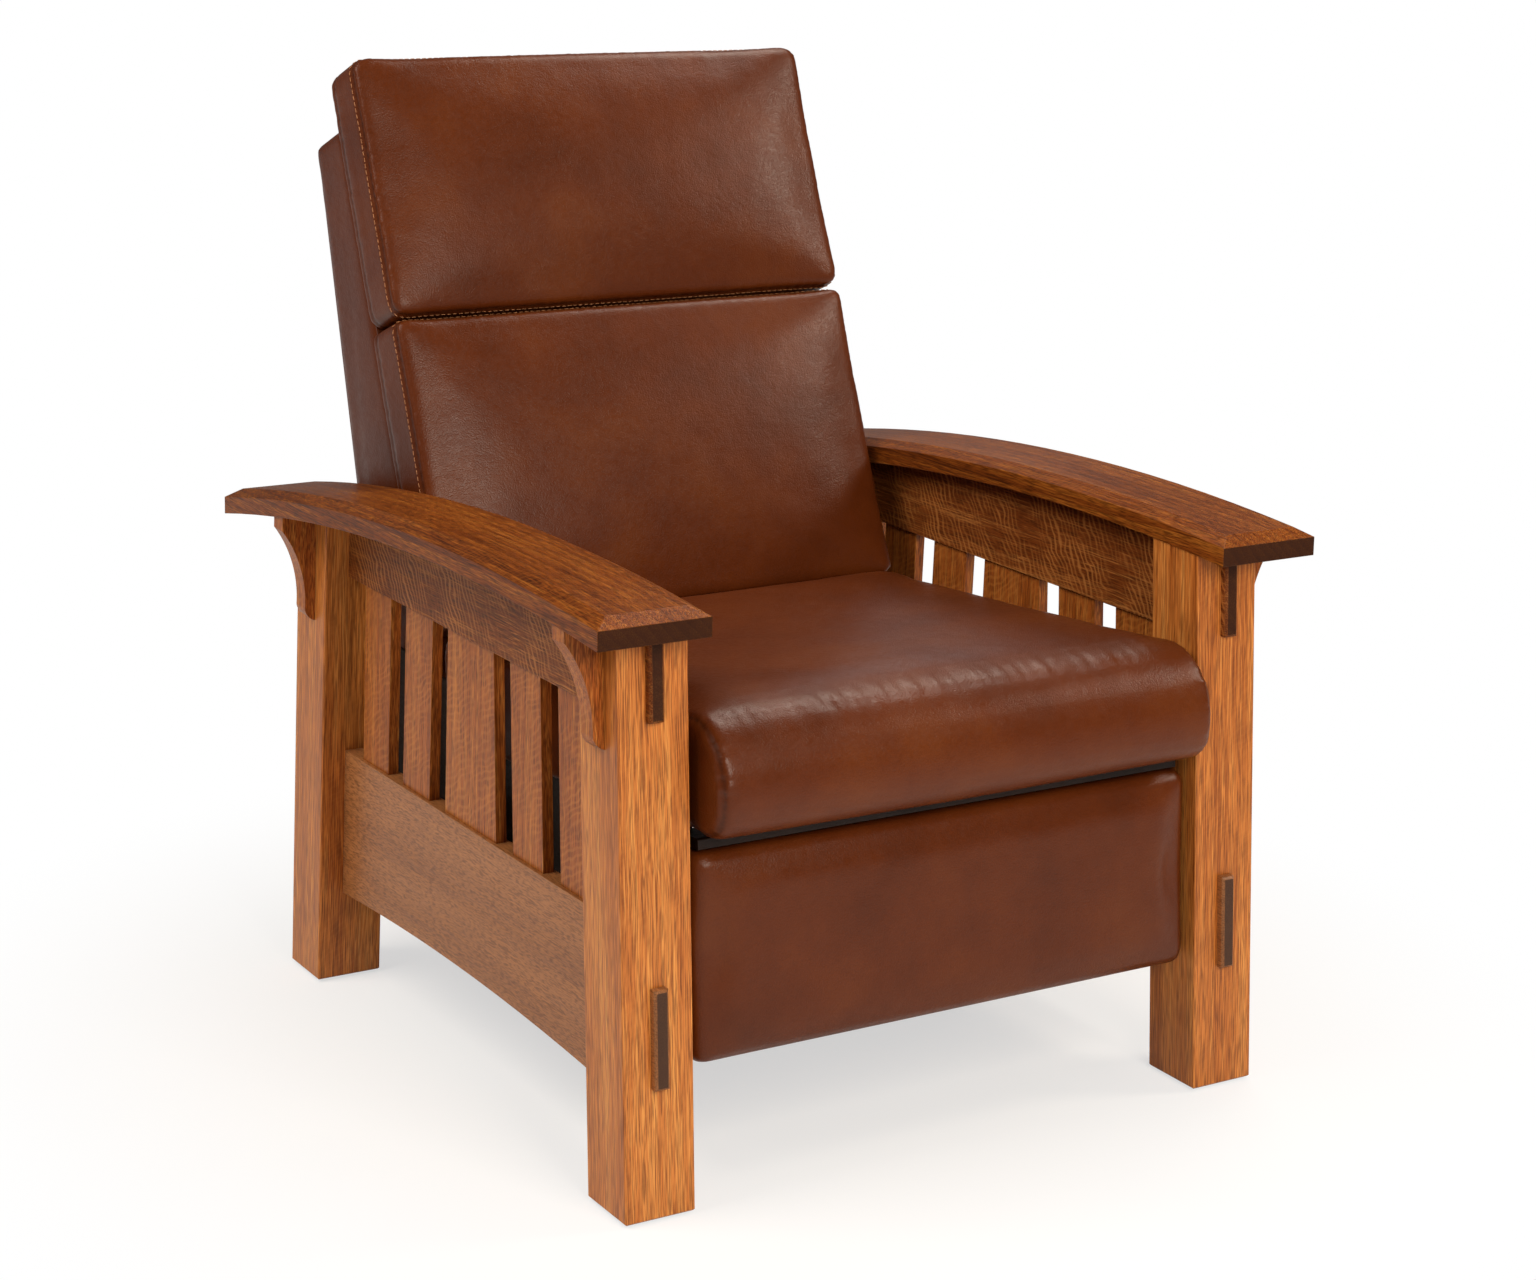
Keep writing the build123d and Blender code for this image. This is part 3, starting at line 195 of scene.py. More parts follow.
# %% World
room_strength = 0.17
wall_share = 0.06
world = bpy.data.worlds.new("studio_world")
world.use_nodes = True
scene.world = world
sky_tree = world.node_tree
room_light = sky_tree.nodes["Background"]
room_light.inputs["Color"].default_value = (1.0, 0.985, 0.965, 1.0)
white = add_node(sky_tree, "ShaderNodeBackground", {"Color": (1, 1, 1, 1), "Strength": 1.0})
sky_ray = add_node(sky_tree, "ShaderNodeLightPath")
room_seen = add_node(sky_tree, "ShaderNodeMapRange", {
    "Value": sky_ray.outputs["Is Glossy Ray"], "To Min": room_strength,
    "To Max": room_strength / 2,
})
sky_tree.links.new(room_seen.outputs["Result"], room_light.inputs["Strength"])
sky_place = add_node(sky_tree, "ShaderNodeTexCoord")
sky_split = add_node(sky_tree, "ShaderNodeSeparateXYZ", {"Vector": sky_place.outputs["Generated"]})
wall = add_node(sky_tree, "ShaderNodeMapRange", {
    "Value": sky_split.outputs["Y"], "From Min": 0.1, "From Max": 0.6,
})
wall_seen = add_node(sky_tree, "ShaderNodeMath", {
    0: sky_ray.outputs["Is Glossy Ray"], 1: wall.outputs["Result"],
}, operation="MULTIPLY")
wall_faint = add_node(sky_tree, "ShaderNodeMath", {
    0: wall_seen.outputs[0], 1: wall_share,
}, operation="MULTIPLY")
looked_at_sky = add_node(sky_tree, "ShaderNodeMath", {
    0: sky_ray.outputs["Is Camera Ray"], 1: wall_faint.outputs[0],
}, operation="MAXIMUM")
sky_seen = add_node(sky_tree, "ShaderNodeMixShader", {
    0: looked_at_sky.outputs[0], 1: room_light.outputs[0], 2: white.outputs[0],
})
sky_tree.links.new(sky_seen.outputs[0], sky_tree.nodes["World Output"].inputs["Surface"])
scene.view_settings.view_transform = "Standard"
print("room light strength", room_strength)

# %% [markdown]
# ## Lamps
# Soft lamps stand in for the studio's boxes of light. The strongest hangs high at the left
# of the picture, and the next one stands in front, at about the height of a photographer's
# eye. Smaller ones at the right and above draw the highlights on the seat and on the head
# cushion, and a faint one lifts the rear.


# %% Soft lamps
def soft_lamp(name, place, aim, size, watts, tint):
    """A rectangular lamp at a place, turned to face a point."""
    bpy.ops.object.select_all(action="DESELECT")
    bpy.ops.object.light_add(type="AREA", location=place)
    lamp = bpy.context.object
    lamp.name = name
    lamp.data.shape = "RECTANGLE"
    lamp.data.size, lamp.data.size_y = size
    lamp.data.energy = watts
    lamp.data.color = linear(tint)[:3]
    lamp.rotation_euler = (Vector(aim) - Vector(place)).to_track_quat("-Z", "Y").to_euler()


soft_lamp("front_lamp", (-0.2, -2.4, 1.6), (0, 0, 0.45), (1.2, 1.0), 47, "fff3e3")
soft_lamp("left_lamp", (-2.4, 0.2, 2.9), (-0.3, 0, 0.4), (1.9, 1.9), 84, "fff6ea")
soft_lamp("top_lamp", (1.0, 0.4, 2.3), (0.1, -0.3, 0.5), (0.9, 0.5), 17, "fff4e6")
soft_lamp("right_lamp", (2.2, -1.1, 2.1), (0, 0.2, 0.8), (0.55, 0.75), 27, "fff0dd")
soft_lamp("rear_lamp", (1.7, 2.6, 1.9), (0, 0, 0.6), (1.0, 1.0), 3, "ffffff")
print("five soft lamps")

# %% [markdown]
# ## Stained white oak
# The frame is quarter-sawn white oak, stained a warm brown under a satin lacquer. It shows
# three things: long open pores that hold dark stain, broad bands of early and late wood, and
# the ray fleck, short wavy ribbons that cross the grain on faces cut towards the log's heart.
# A solid pattern on Object coordinates, stretched along the grain, gives each face its own
# cut of the same wood. The ends of boards come out darker, because end grain drinks stain,
# and the edges are lightened with a painted highlight along each rounded edge. Pores are
# drawn wider than the real ones, so that they show.

# %% Real sizes in the wood
pore_width = 0.9 * mm
pore_length = 18 * mm
short_pore = 9 * mm
long_pore = 30 * mm
pore_depth = 0.3 * mm
streak_width = 1.5 * mm
streak_length = 120 * mm
streak_share = 0.58
board_width = 34 * mm
board_length = 500 * mm
sway_length = 170 * mm
sway_width = 6 * mm
ring_spacing = 7 * mm
ring_stretch = 45.0
fleck_spacing = 7.5 * mm
fleck_patch = 55 * mm
fleck_tilt = radians(30)
# Radius of the rounded edges; it also sets the width of the painted edge highlight.
eased_edge_radius = 1.3 * mm
leg_lean = atan(0.056)
end_grain = "261207"
# A wave texture of this scale repeats once in every metre.
wave_scale_per_metre = 0.314
print("rings every", ring_spacing / mm, "mm, flecks every", fleck_spacing / mm, "mm")


# %% Oak with its grain along an axis
def oak(
    name,
    grain,
    stain,
    fleck_axis,
    fleck,
    rings_share=0.3,
    gloss=0.38,
    shine=0.28,
    pore_run=pore_length,
    lean=0.0,
):
    """Stained oak with its grain along one axis, leaning about X where the piece leans.
    Stain is four colours: dark, body and light wood, and pores. Fleck is how strongly the
    rays show on faces that look along fleck_axis."""
    dark, body, light, pore = stain
    material, shader = new_material(name)
    shader.inputs["Specular IOR Level"].default_value = shine
    tree = material.node_tree

    # Coordinates that follow the grain, which wanders a little from straight.
    coords = add_node(tree, "ShaderNodeTexCoord")
    upright = add_node(tree, "ShaderNodeMapping", {
        "Vector": coords.outputs["Object"], "Rotation": (lean, 0.0, 0.0),
    })
    sway = add_node(tree, "ShaderNodeTexNoise", {
        "Vector": coords.outputs["Object"], "Scale": 1 / sway_length, "Detail": 2.0,
    })
    centred = add_node(tree, "ShaderNodeVectorMath", {
        0: sway.outputs["Color"], 1: (0.5, 0.5, 0.5),
    }, operation="SUBTRACT")
    swayed = add_node(tree, "ShaderNodeVectorMath", {
        0: centred.outputs[0], 1: (sway_width,) * 3, 2: upright.outputs[0],
    }, operation="MULTIPLY_ADD")

    def along_grain(across, along):
        """The swayed coordinates in units of one size across the grain and one along it."""
        scale = [1 / across] * 3
        scale[grain] = 1 / along
        mapped = add_node(tree, "ShaderNodeMapping", {"Vector": swayed.outputs[0], "Scale": scale})
        return mapped.outputs[0]

    # Tone: broad boards, growth rings and fine streaks.
    board = add_node(tree, "ShaderNodeTexNoise", {
        "Vector": along_grain(board_width, board_length), "Scale": 1.0, "Detail": 3.0,
    })
    streaks = add_node(tree, "ShaderNodeTexNoise", {
        "Vector": along_grain(streak_width, streak_length), "Scale": 1.0, "Detail": 3.0,
        "Roughness": 0.65,
    })
    rings = add_node(tree, "ShaderNodeTexWave", {
        "Vector": along_grain(1.0, ring_stretch), "Scale": wave_scale_per_metre / ring_spacing,
        "Distortion": 5.0, "Detail": 2.0, "Detail Scale": 0.4, "Detail Roughness": 0.5,
    }, bands_direction="DIAGONAL", wave_profile="SAW")
    grown = add_node(tree, "ShaderNodeMix", {
        "Factor": rings_share, "A": board.outputs["Fac"], "B": rings.outputs["Fac"],
    })
    tone = add_node(tree, "ShaderNodeMix", {
        "Factor": streak_share, "A": grown.outputs["Result"], "B": streaks.outputs["Fac"],
    })
    colour = add_node(tree, "ShaderNodeValToRGB", {
        "Fac": tone.outputs["Result"],
    }, [(0.37, dark), (0.63, light), (0.5, body)])

    # Pores, more of them in the early wood of each ring.
    pores = add_node(tree, "ShaderNodeTexNoise", {
        "Vector": along_grain(pore_width, pore_run), "Scale": 1.0, "Detail": 1.0, "Roughness": 0.5,
    })
    early = add_node(tree, "ShaderNodeMapRange", {
        "Value": rings.outputs["Fac"], "To Min": 0.04, "To Max": -0.04,
    })
    crowded = add_node(tree, "ShaderNodeMath", {
        0: pores.outputs["Fac"], 1: early.outputs["Result"],
    }, operation="ADD")
    pore_mask = add_node(tree, "ShaderNodeMapRange", {
        "Value": crowded.outputs[0], "From Min": 0.38, "From Max": 0.55, "To Min": 0.62,
        "To Max": 0.0,
    })
    stained = add_node(tree, "ShaderNodeMix", {
        "Factor": pore_mask.outputs["Result"], "A": colour.outputs["Color"], "B": linear(pore),
    }, data_type="RGBA")

    # Ray fleck, in patches, on the faces that look along its axis.
    split = add_node(tree, "ShaderNodeSeparateXYZ", {"Vector": coords.outputs["Normal"]})
    tilt = [0.0, 0.0, 0.0]
    tilt[fleck_axis] = fleck_tilt
    tilted = add_node(tree, "ShaderNodeMapping", {"Vector": swayed.outputs[0], "Rotation": tilt})
    waves = add_node(tree, "ShaderNodeTexWave", {
        "Vector": tilted.outputs[0], "Scale": wave_scale_per_metre / fleck_spacing,
        "Distortion": 9.0, "Detail": 2.0, "Detail Scale": 0.8, "Detail Roughness": 0.45,
    }, bands_direction="XYZ"[grain], wave_profile="SIN")
    ribbons = add_node(tree, "ShaderNodeMapRange", {
        "Value": waves.outputs["Fac"], "From Min": 0.45, "From Max": 1.0, "To Max": fleck,
    })
    patches = add_node(tree, "ShaderNodeTexNoise", {
        "Vector": coords.outputs["Object"], "Scale": 1 / fleck_patch, "Detail": 2.0,
    })
    patched = add_node(tree, "ShaderNodeMapRange", {
        "Value": patches.outputs["Fac"], "From Min": 0.36, "From Max": 0.58,
    })
    looking = add_node(tree, "ShaderNodeMath", {0: split.outputs[fleck_axis]}, operation="ABSOLUTE")
    facing = add_node(tree, "ShaderNodeMapRange", {
        "Value": looking.outputs[0], "From Min": 0.7, "From Max": 0.95,
    })
    faced = add_node(tree, "ShaderNodeMath", {
        0: ribbons.outputs["Result"], 1: facing.outputs["Result"],
    }, operation="MULTIPLY")
    fleck_mask = add_node(tree, "ShaderNodeMath", {
        0: faced.outputs[0], 1: patched.outputs["Result"],
    }, operation="MULTIPLY")
    flecked = add_node(tree, "ShaderNodeMix", {
        "Factor": fleck_mask.outputs[0], "A": stained.outputs["Result"], "B": linear(light),
    }, data_type="RGBA")

    # Dark end grain, and a painted highlight along the rounded edges.
    end_face = add_node(tree, "ShaderNodeMath", {0: split.outputs[grain]}, operation="ABSOLUTE")
    end_mask = add_node(tree, "ShaderNodeMapRange", {
        "Value": end_face.outputs[0], "From Min": 0.6, "From Max": 0.95, "To Max": 0.88,
    })
    ended = add_node(tree, "ShaderNodeMix", {
        "Factor": end_mask.outputs["Result"], "A": flecked.outputs["Result"],
        "B": linear(end_grain),
    }, data_type="RGBA")
    eased = add_node(tree, "ShaderNodeBevel", {"Radius": eased_edge_radius}, samples=4)
    face = add_node(tree, "ShaderNodeNewGeometry")
    bend = add_node(tree, "ShaderNodeVectorMath", {
        0: eased.outputs["Normal"], 1: face.outputs["True Normal"],
    }, operation="DOT_PRODUCT")
    # Where the rounded normal turns away from the face, the colour is lightened: a painted
    # highlight along each edge.
    edge_highlight = add_node(tree, "ShaderNodeMapRange", {
        "Value": bend.outputs["Value"], "From Min": 0.75, "From Max": 0.98, "To Min": 0.25,
        "To Max": 0.0,
    })
    result = add_node(tree, "ShaderNodeMix", {
        "Factor": edge_highlight.outputs["Result"], "A": ended.outputs["Result"], "B": linear(light),
    }, data_type="RGBA")
    tree.links.new(result.outputs["Result"], shader.inputs["Base Color"])

    # The lacquer follows the streaks, and the pores are open dents in it.
    rough = add_node(tree, "ShaderNodeMapRange", {
        "Value": streaks.outputs["Fac"], "From Min": 0.3, "From Max": 0.7, "To Min": gloss - 0.05,
        "To Max": gloss + 0.08,
    })
    tree.links.new(rough.outputs["Result"], shader.inputs["Roughness"])
    dent = add_node(tree, "ShaderNodeBump", {
        "Height": pore_mask.outputs["Result"], "Strength": 0.25, "Distance": pore_depth,
        "Normal": eased.outputs["Normal"],
    }, invert=True)
    tree.links.new(dent.outputs["Normal"], shader.inputs["Normal"])
    return material


print("the oak recipe is ready")

# %% Seven cuts of oak
post_stain = ("8a4616", "c07231", "d6924a", "55270c")
slat_stain = ("78390f", "a35822", "bd7836", "401c08")
rail_stain = ("5c2a0d", "7b3f18", "b0713a", "341707")
low_rail_stain = ("8b5731", "9d6539", "aa7144", "4e2a13")
arm_stain = ("4d230a", "793c12", "9b5b20", "2b1104")
cross_stain = ("683210", "8d4d1f", "ac6c33", "3c1d09")
oak_front_post = oak(
    "stained_oak_front_post", Z, post_stain, Y, 0.05, 0.15, pore_run=long_pore, lean=leg_lean
)
oak_rear_post = oak(
    "stained_oak_rear_post", Z, post_stain, Y, 0.05, 0.15, pore_run=long_pore, lean=-leg_lean
)
oak_slat = oak("stained_oak_slat", Z, slat_stain, X, 0.32, gloss=0.38, shine=0.2)
oak_rail = oak("stained_oak_rail", Y, rail_stain, X, 0.7, 0.15, gloss=0.4, shine=0.12)
oak_low_rail = oak("stained_oak_low_rail", Y, low_rail_stain, X, 0.05, 0.05, pore_run=short_pore)
oak_arm = oak("stained_oak_arm", Y, arm_stain, Z, 0.22, gloss=0.33, shine=0.1)
oak_cross = oak("stained_oak_stretcher", X, cross_stain, Y, 0.2)
print("seven cuts of oak")

# %% [markdown]
# ## Plain hardwood, steel and plastic
# What the leather hides is plain maple, sanded and left bare. The mechanism is steel strip
# under black satin enamel, its bolts are zinc-plated, the springs are drawn wire, and the
# glides under the legs are moulded nylon.

# %% Bare maple
maple_run = 120 * mm
maple_width = 9 * mm
bare_maple, maple_shader = new_material("sanded_maple", Roughness=0.62)
maple_tree = bare_maple.node_tree
maple_place = add_node(maple_tree, "ShaderNodeTexCoord")
maple_map = add_node(maple_tree, "ShaderNodeMapping", {
    "Vector": maple_place.outputs["Object"],
    "Scale": (1 / maple_run, 1 / maple_width, 1 / maple_width),
})
maple_grain = add_node(maple_tree, "ShaderNodeTexNoise", {
    "Vector": maple_map.outputs[0], "Scale": 1.0, "Detail": 4.0,
})
maple_colour = add_node(maple_tree, "ShaderNodeValToRGB", {
    "Fac": maple_grain.outputs["Fac"],
}, [(0.35, "b98d5c"), (0.65, "d3ad7d")])
maple_tree.links.new(maple_colour.outputs["Color"], maple_shader.inputs["Base Color"])
print("bare maple:", bare_maple.name)


# %% Metals and plastic from one recipe
def worn_surface(name, deep, high, metallic, smooth, rough, grain_size, height):
    """A hard surface whose colour and roughness vary over a grain of a real size."""
    material, shader = new_material(name, Metallic=metallic)
    tree = material.node_tree
    place = add_node(tree, "ShaderNodeTexCoord")
    grain = add_node(tree, "ShaderNodeTexNoise", {
        "Vector": place.outputs["Object"], "Scale": 1 / grain_size, "Detail": 4.0,
    })
    colour = add_node(tree, "ShaderNodeValToRGB", {
        "Fac": grain.outputs["Fac"],
    }, [(0.35, deep), (0.65, high)])
    tree.links.new(colour.outputs["Color"], shader.inputs["Base Color"])
    spread = add_node(tree, "ShaderNodeMapRange", {
        "Value": grain.outputs["Fac"], "From Min": 0.3, "From Max": 0.7, "To Min": smooth,
        "To Max": rough,
    })
    tree.links.new(spread.outputs["Result"], shader.inputs["Roughness"])
    dent = add_node(tree, "ShaderNodeBump", {
        "Height": grain.outputs["Fac"], "Strength": 0.15, "Distance": height,
    })
    tree.links.new(dent.outputs["Normal"], shader.inputs["Normal"])
    return material


black_enamel = worn_surface(
    "black_enamelled_steel", "141414", "1d1c1b", 0.0, 0.38, 0.5, 2 * mm, 0.3 * mm
)
zinc_steel = worn_surface(
    "zinc_plated_steel", "9a9b9c", "b4b6b7", 1.0, 0.28, 0.42, 3 * mm, 0.1 * mm
)
spring_wire = worn_surface(
    "drawn_spring_wire", "5d5e60", "77797b", 1.0, 0.3, 0.45, 1.5 * mm, 0.1 * mm
)
nylon = worn_surface("moulded_nylon", "20140d", "2b1b12", 0.0, 0.45, 0.6, 1.2 * mm, 0.2 * mm)
print("four hard finishes")

# %% [markdown]
# ## Chestnut leather
# The covers are top-grain cowhide, drum-dyed and finished with a thin clear coat. The eye
# reads it by a fine pebble of about a millimetre, soft cloudy changes of tone over a hand's
# breadth, painted shade in creases and seams, and broad soft highlights.

# %% Leather with pebble, clouds and painted shade in creases
pebble_size = 1.5 * mm
pebble_height = 0.6 * mm
grain_size = 6 * mm
grain_height = 1 * mm
swell_size = 38 * mm
swell_height = 1.6 * mm
cloud_size = 120 * mm
# Colour of the painted shade in seams and creases.
seam_shade_colour = "1f0d06"


def leather(name, deep, body, high):
    """Dyed leather. A point attribute marks seams and folds, where shade is painted into the
    colour.
    """
    material, shader = new_material(name)
    shader.inputs["Specular IOR Level"].default_value = 0.21
    tree = material.node_tree
    place = add_node(tree, "ShaderNodeTexCoord")

    # Colour: clouds, painted shade in creases and seams, and a slightly darker line round each
    # pebble.
    clouds = add_node(tree, "ShaderNodeTexNoise", {
        "Vector": place.outputs["Object"], "Scale": 1 / cloud_size, "Detail": 5.0,
        "Roughness": 0.6,
    })
    colour = add_node(tree, "ShaderNodeValToRGB", {
        "Fac": clouds.outputs["Fac"],
    }, [(0.3, deep), (0.7, high), (0.5, body)])
    pebbles = add_node(tree, "ShaderNodeTexVoronoi", {
        "Vector": place.outputs["Object"], "Scale": 1 / pebble_size,
    }, feature="SMOOTH_F1")
    painted_seam_shade = add_node(tree, "ShaderNodeAttribute", attribute_name="painted_seam_shade")
    # Painted shade in seams and creases, read from the point attribute.
    shade = add_node(tree, "ShaderNodeMix", {
        "Factor": painted_seam_shade.outputs["Fac"], "A": colour.outputs["Color"], "B": linear(seam_shade_colour),
    }, data_type="RGBA")
    speck = add_node(tree, "ShaderNodeMapRange", {
        "Value": pebbles.outputs["Distance"], "From Min": 0.0, "From Max": 0.8, "To Min": 1.06,
        "To Max": 0.88,
    })
    grainy = add_node(tree, "ShaderNodeVectorMath", {
        0: shade.outputs["Result"], "Scale": speck.outputs["Result"],
    }, operation="SCALE")
    tree.links.new(grainy.outputs["Vector"], shader.inputs["Base Color"])

    # Coat: rougher and smoother spots, over three sizes of bumps.
    fine = add_node(tree, "ShaderNodeTexNoise", {
        "Vector": place.outputs["Object"], "Scale": 1 / grain_size, "Detail": 4.0,
    })
    spread = add_node(tree, "ShaderNodeMapRange", {
        "Value": fine.outputs["Fac"], "From Min": 0.3, "From Max": 0.7, "To Min": 0.28,
        "To Max": 0.4,
    })
    tree.links.new(spread.outputs["Result"], shader.inputs["Roughness"])
    pebble_bump = add_node(tree, "ShaderNodeBump", {
        "Height": pebbles.outputs["Distance"], "Strength": 0.35, "Distance": pebble_height,
    }, invert=True)
    swell = add_node(tree, "ShaderNodeTexNoise", {
        "Vector": place.outputs["Object"], "Scale": 1 / swell_size, "Detail": 2.0,
    })
    swell_bump = add_node(tree, "ShaderNodeBump", {
        "Height": swell.outputs["Fac"], "Strength": 0.5, "Distance": swell_height,
        "Normal": pebble_bump.outputs["Normal"],
    })
    soft_bump = add_node(tree, "ShaderNodeBump", {
        "Height": fine.outputs["Fac"], "Strength": 0.16, "Distance": grain_height,
        "Normal": swell_bump.outputs["Normal"],
    })
    tree.links.new(soft_bump.outputs["Normal"], shader.inputs["Normal"])
    return material


chestnut_leather = leather("chestnut_leather", "4d2007", "562509", "5f2c0c")
# Near-black leather for the seat rails: painted shadow, standing in for the deep shade in the gap
# under the seat's nose.
shadow_leather = leather("dark_lining_leather", "160a05", "1c0d07", "241209")
thread = worn_surface(
    "waxed_brown_thread", "8a5632", "a9744a", 0.0, 0.5, 0.7, 1 * mm, 0.2 * mm
)
print("leather pebble", pebble_size / mm, "mm")

# %% [markdown]
# ## Dressing the measured nodes
# Each node of the CAD keeps its place and shape, and only gets a finish. Boards take the cut
# of oak whose grain runs along them.

# %% Finish for each measured node
def finish_node(name, material):
    """Gives every face of a measured node one material."""
    slots = nodes[name].material_slots
    for slot in slots:
        slot.material = material
    if not slots:
        nodes[name].data.materials.append(material)


finishes = [
    (oak_front_post, ("leg_front_",)),
    (oak_rear_post, ("leg_rear_",)),
    (oak_slat, ("slats_", "corbel_")),
    (oak_rail, ("upper_side_rail_",)),
    (oak_low_rail, ("lower_side_rail_",)),
    (oak_arm, ("arm_left", "arm_right")),
    (oak_cross, ("front_stretcher", "rear_stretcher", "arm_dowels")),
    # The seat rails take the near-black leather as painted shadow under the seat's nose.
    (shadow_leather, ("seat_side_rail_", "seat_front_rail", "seat_rear_rail")),
    (chestnut_leather, ("back_stile_",)),
    (bare_maple, ("corner_blocks", "back_top_rail", "back_bottom_rail", "footrest_board")),
    (nylon, ("floor_glides",)),
    (spring_wire, ("seat_springs", "back_springs")),
    (
        zinc_steel,
        (
            "frame_screws",
            "base_pivot_pins",
            "seat_plate_bolts",
            "seat_pivot_pins",
            "back_bracket_bolts",
            "footrest_front_link_pins",
            "footrest_rear_link_pins",
            "footrest_coupler_pins",
            "footrest_bracket_pins",
            "footrest_bracket_screws",
        ),
    ),
    (
        black_enamel,
        (
            "base_rail_",
            "swing_links_",
            "seat_plate_left",
            "seat_plate_right",
            "back_brackets",
            "footrest_front_links",
            "footrest_torque_tube",
            "footrest_rear_links",
            "footrest_couplers",
            "footrest_upper_links",
            "footrest_brackets",
        ),
    ),
]
dressed = set()
for material, starts in finishes:
    for name in nodes:
        if name.startswith(starts):
            finish_node(name, material)
            dressed.add(name)
print("not dressed, because they are made anew:", sorted(set(nodes) - dressed))

# %% [markdown]
# ## Making a cushion
# A real cushion is foam in a sewn leather box. Here each starts as a box, shaped in edit mode
# with its broad corners, in its own level frame where it is easy to measure. It is then
# remeshed to even squares and blown up a little as cloth, with the side that rests on the
# frame held still, which crowns the faces and draws the edges in as stuffing does. After
# that come what a remesh would erase: the seams, the gathers beside them and the stitches.

# %% Helpers for modelling a piece by operators
close = 0.1 * mm
nearly_along = 0.9


def pick(piece):
    """Makes a piece the only selected one."""
    bpy.ops.object.select_all(action="DESELECT")
    piece.select_set(True)
    bpy.context.view_layer.objects.active = piece


def start_box(name, low, high):
    """A box from one corner to the other, alone in the selection, with its place in its mesh."""
    bpy.ops.object.select_all(action="DESELECT")
    low, high = Vector(low), Vector(high)
    bpy.ops.mesh.primitive_cube_add(size=1.0, location=(low + high) / 2)
    piece = bpy.context.object
    piece.name = name
    piece.scale = high - low
    bpy.ops.object.transform_apply(location=True, rotation=True, scale=True)
    return piece


def move_points(piece, wanted, move):
    """Moves the points that pass a test of place."""
    bpy.ops.object.mode_set(mode="EDIT")
    bpy.ops.mesh.select_mode(type="VERT")
    bpy.ops.mesh.select_all(action="DESELECT")
    bpy.ops.object.mode_set(mode="OBJECT")
    for point in piece.data.vertices:
        point.select = wanted(point.co)
    bpy.ops.object.mode_set(mode="EDIT")
    bpy.ops.transform.translate(value=move)
    bpy.ops.object.mode_set(mode="OBJECT")


def round_edges(piece, radius, segments, wanted, along=None):
    """Rounds the edges whose two ends pass a test of place. With along, only those that run
    along that axis."""
    bpy.ops.object.mode_set(mode="EDIT")
    bpy.ops.mesh.select_mode(type="EDGE")
    bpy.ops.mesh.select_all(action="DESELECT")
    bpy.ops.object.mode_set(mode="OBJECT")
    points = piece.data.vertices
    for edge in piece.data.edges:
        first, second = (points[number].co for number in edge.vertices)
        length = (first - second).length
        runs = along is None or abs(first[along] - second[along]) > nearly_along * length
        edge.select = runs and wanted(first) and wanted(second)
    bpy.ops.object.mode_set(mode="EDIT")
    bpy.ops.mesh.bevel(offset=radius, segments=segments, profile=0.5, affect="EDGES")
    bpy.ops.object.mode_set(mode="OBJECT")


def read_points(piece):
    """The piece's points as an array."""
    flat = np.empty(len(piece.data.vertices) * 3)
    piece.data.vertices.foreach_get("co", flat)
    return flat.reshape(-1, 3)


def write_points(piece, points):
    """Moves the piece's points to the rows of an array."""
    piece.data.vertices.foreach_set("co", points.reshape(-1))
    piece.data.update()


def read_normals(piece):
    """The piece's point normals as an array."""
    flat = np.empty(len(piece.data.vertices) * 3)
    piece.data.vertex_normals.foreach_get("vector", flat)
    return flat.reshape(-1, 3)


print("modelling helpers ready")

# %% Stuffing a box as cloth
stuffing_frames = 20
ironing_rounds = 14
ironing_share = 0.6


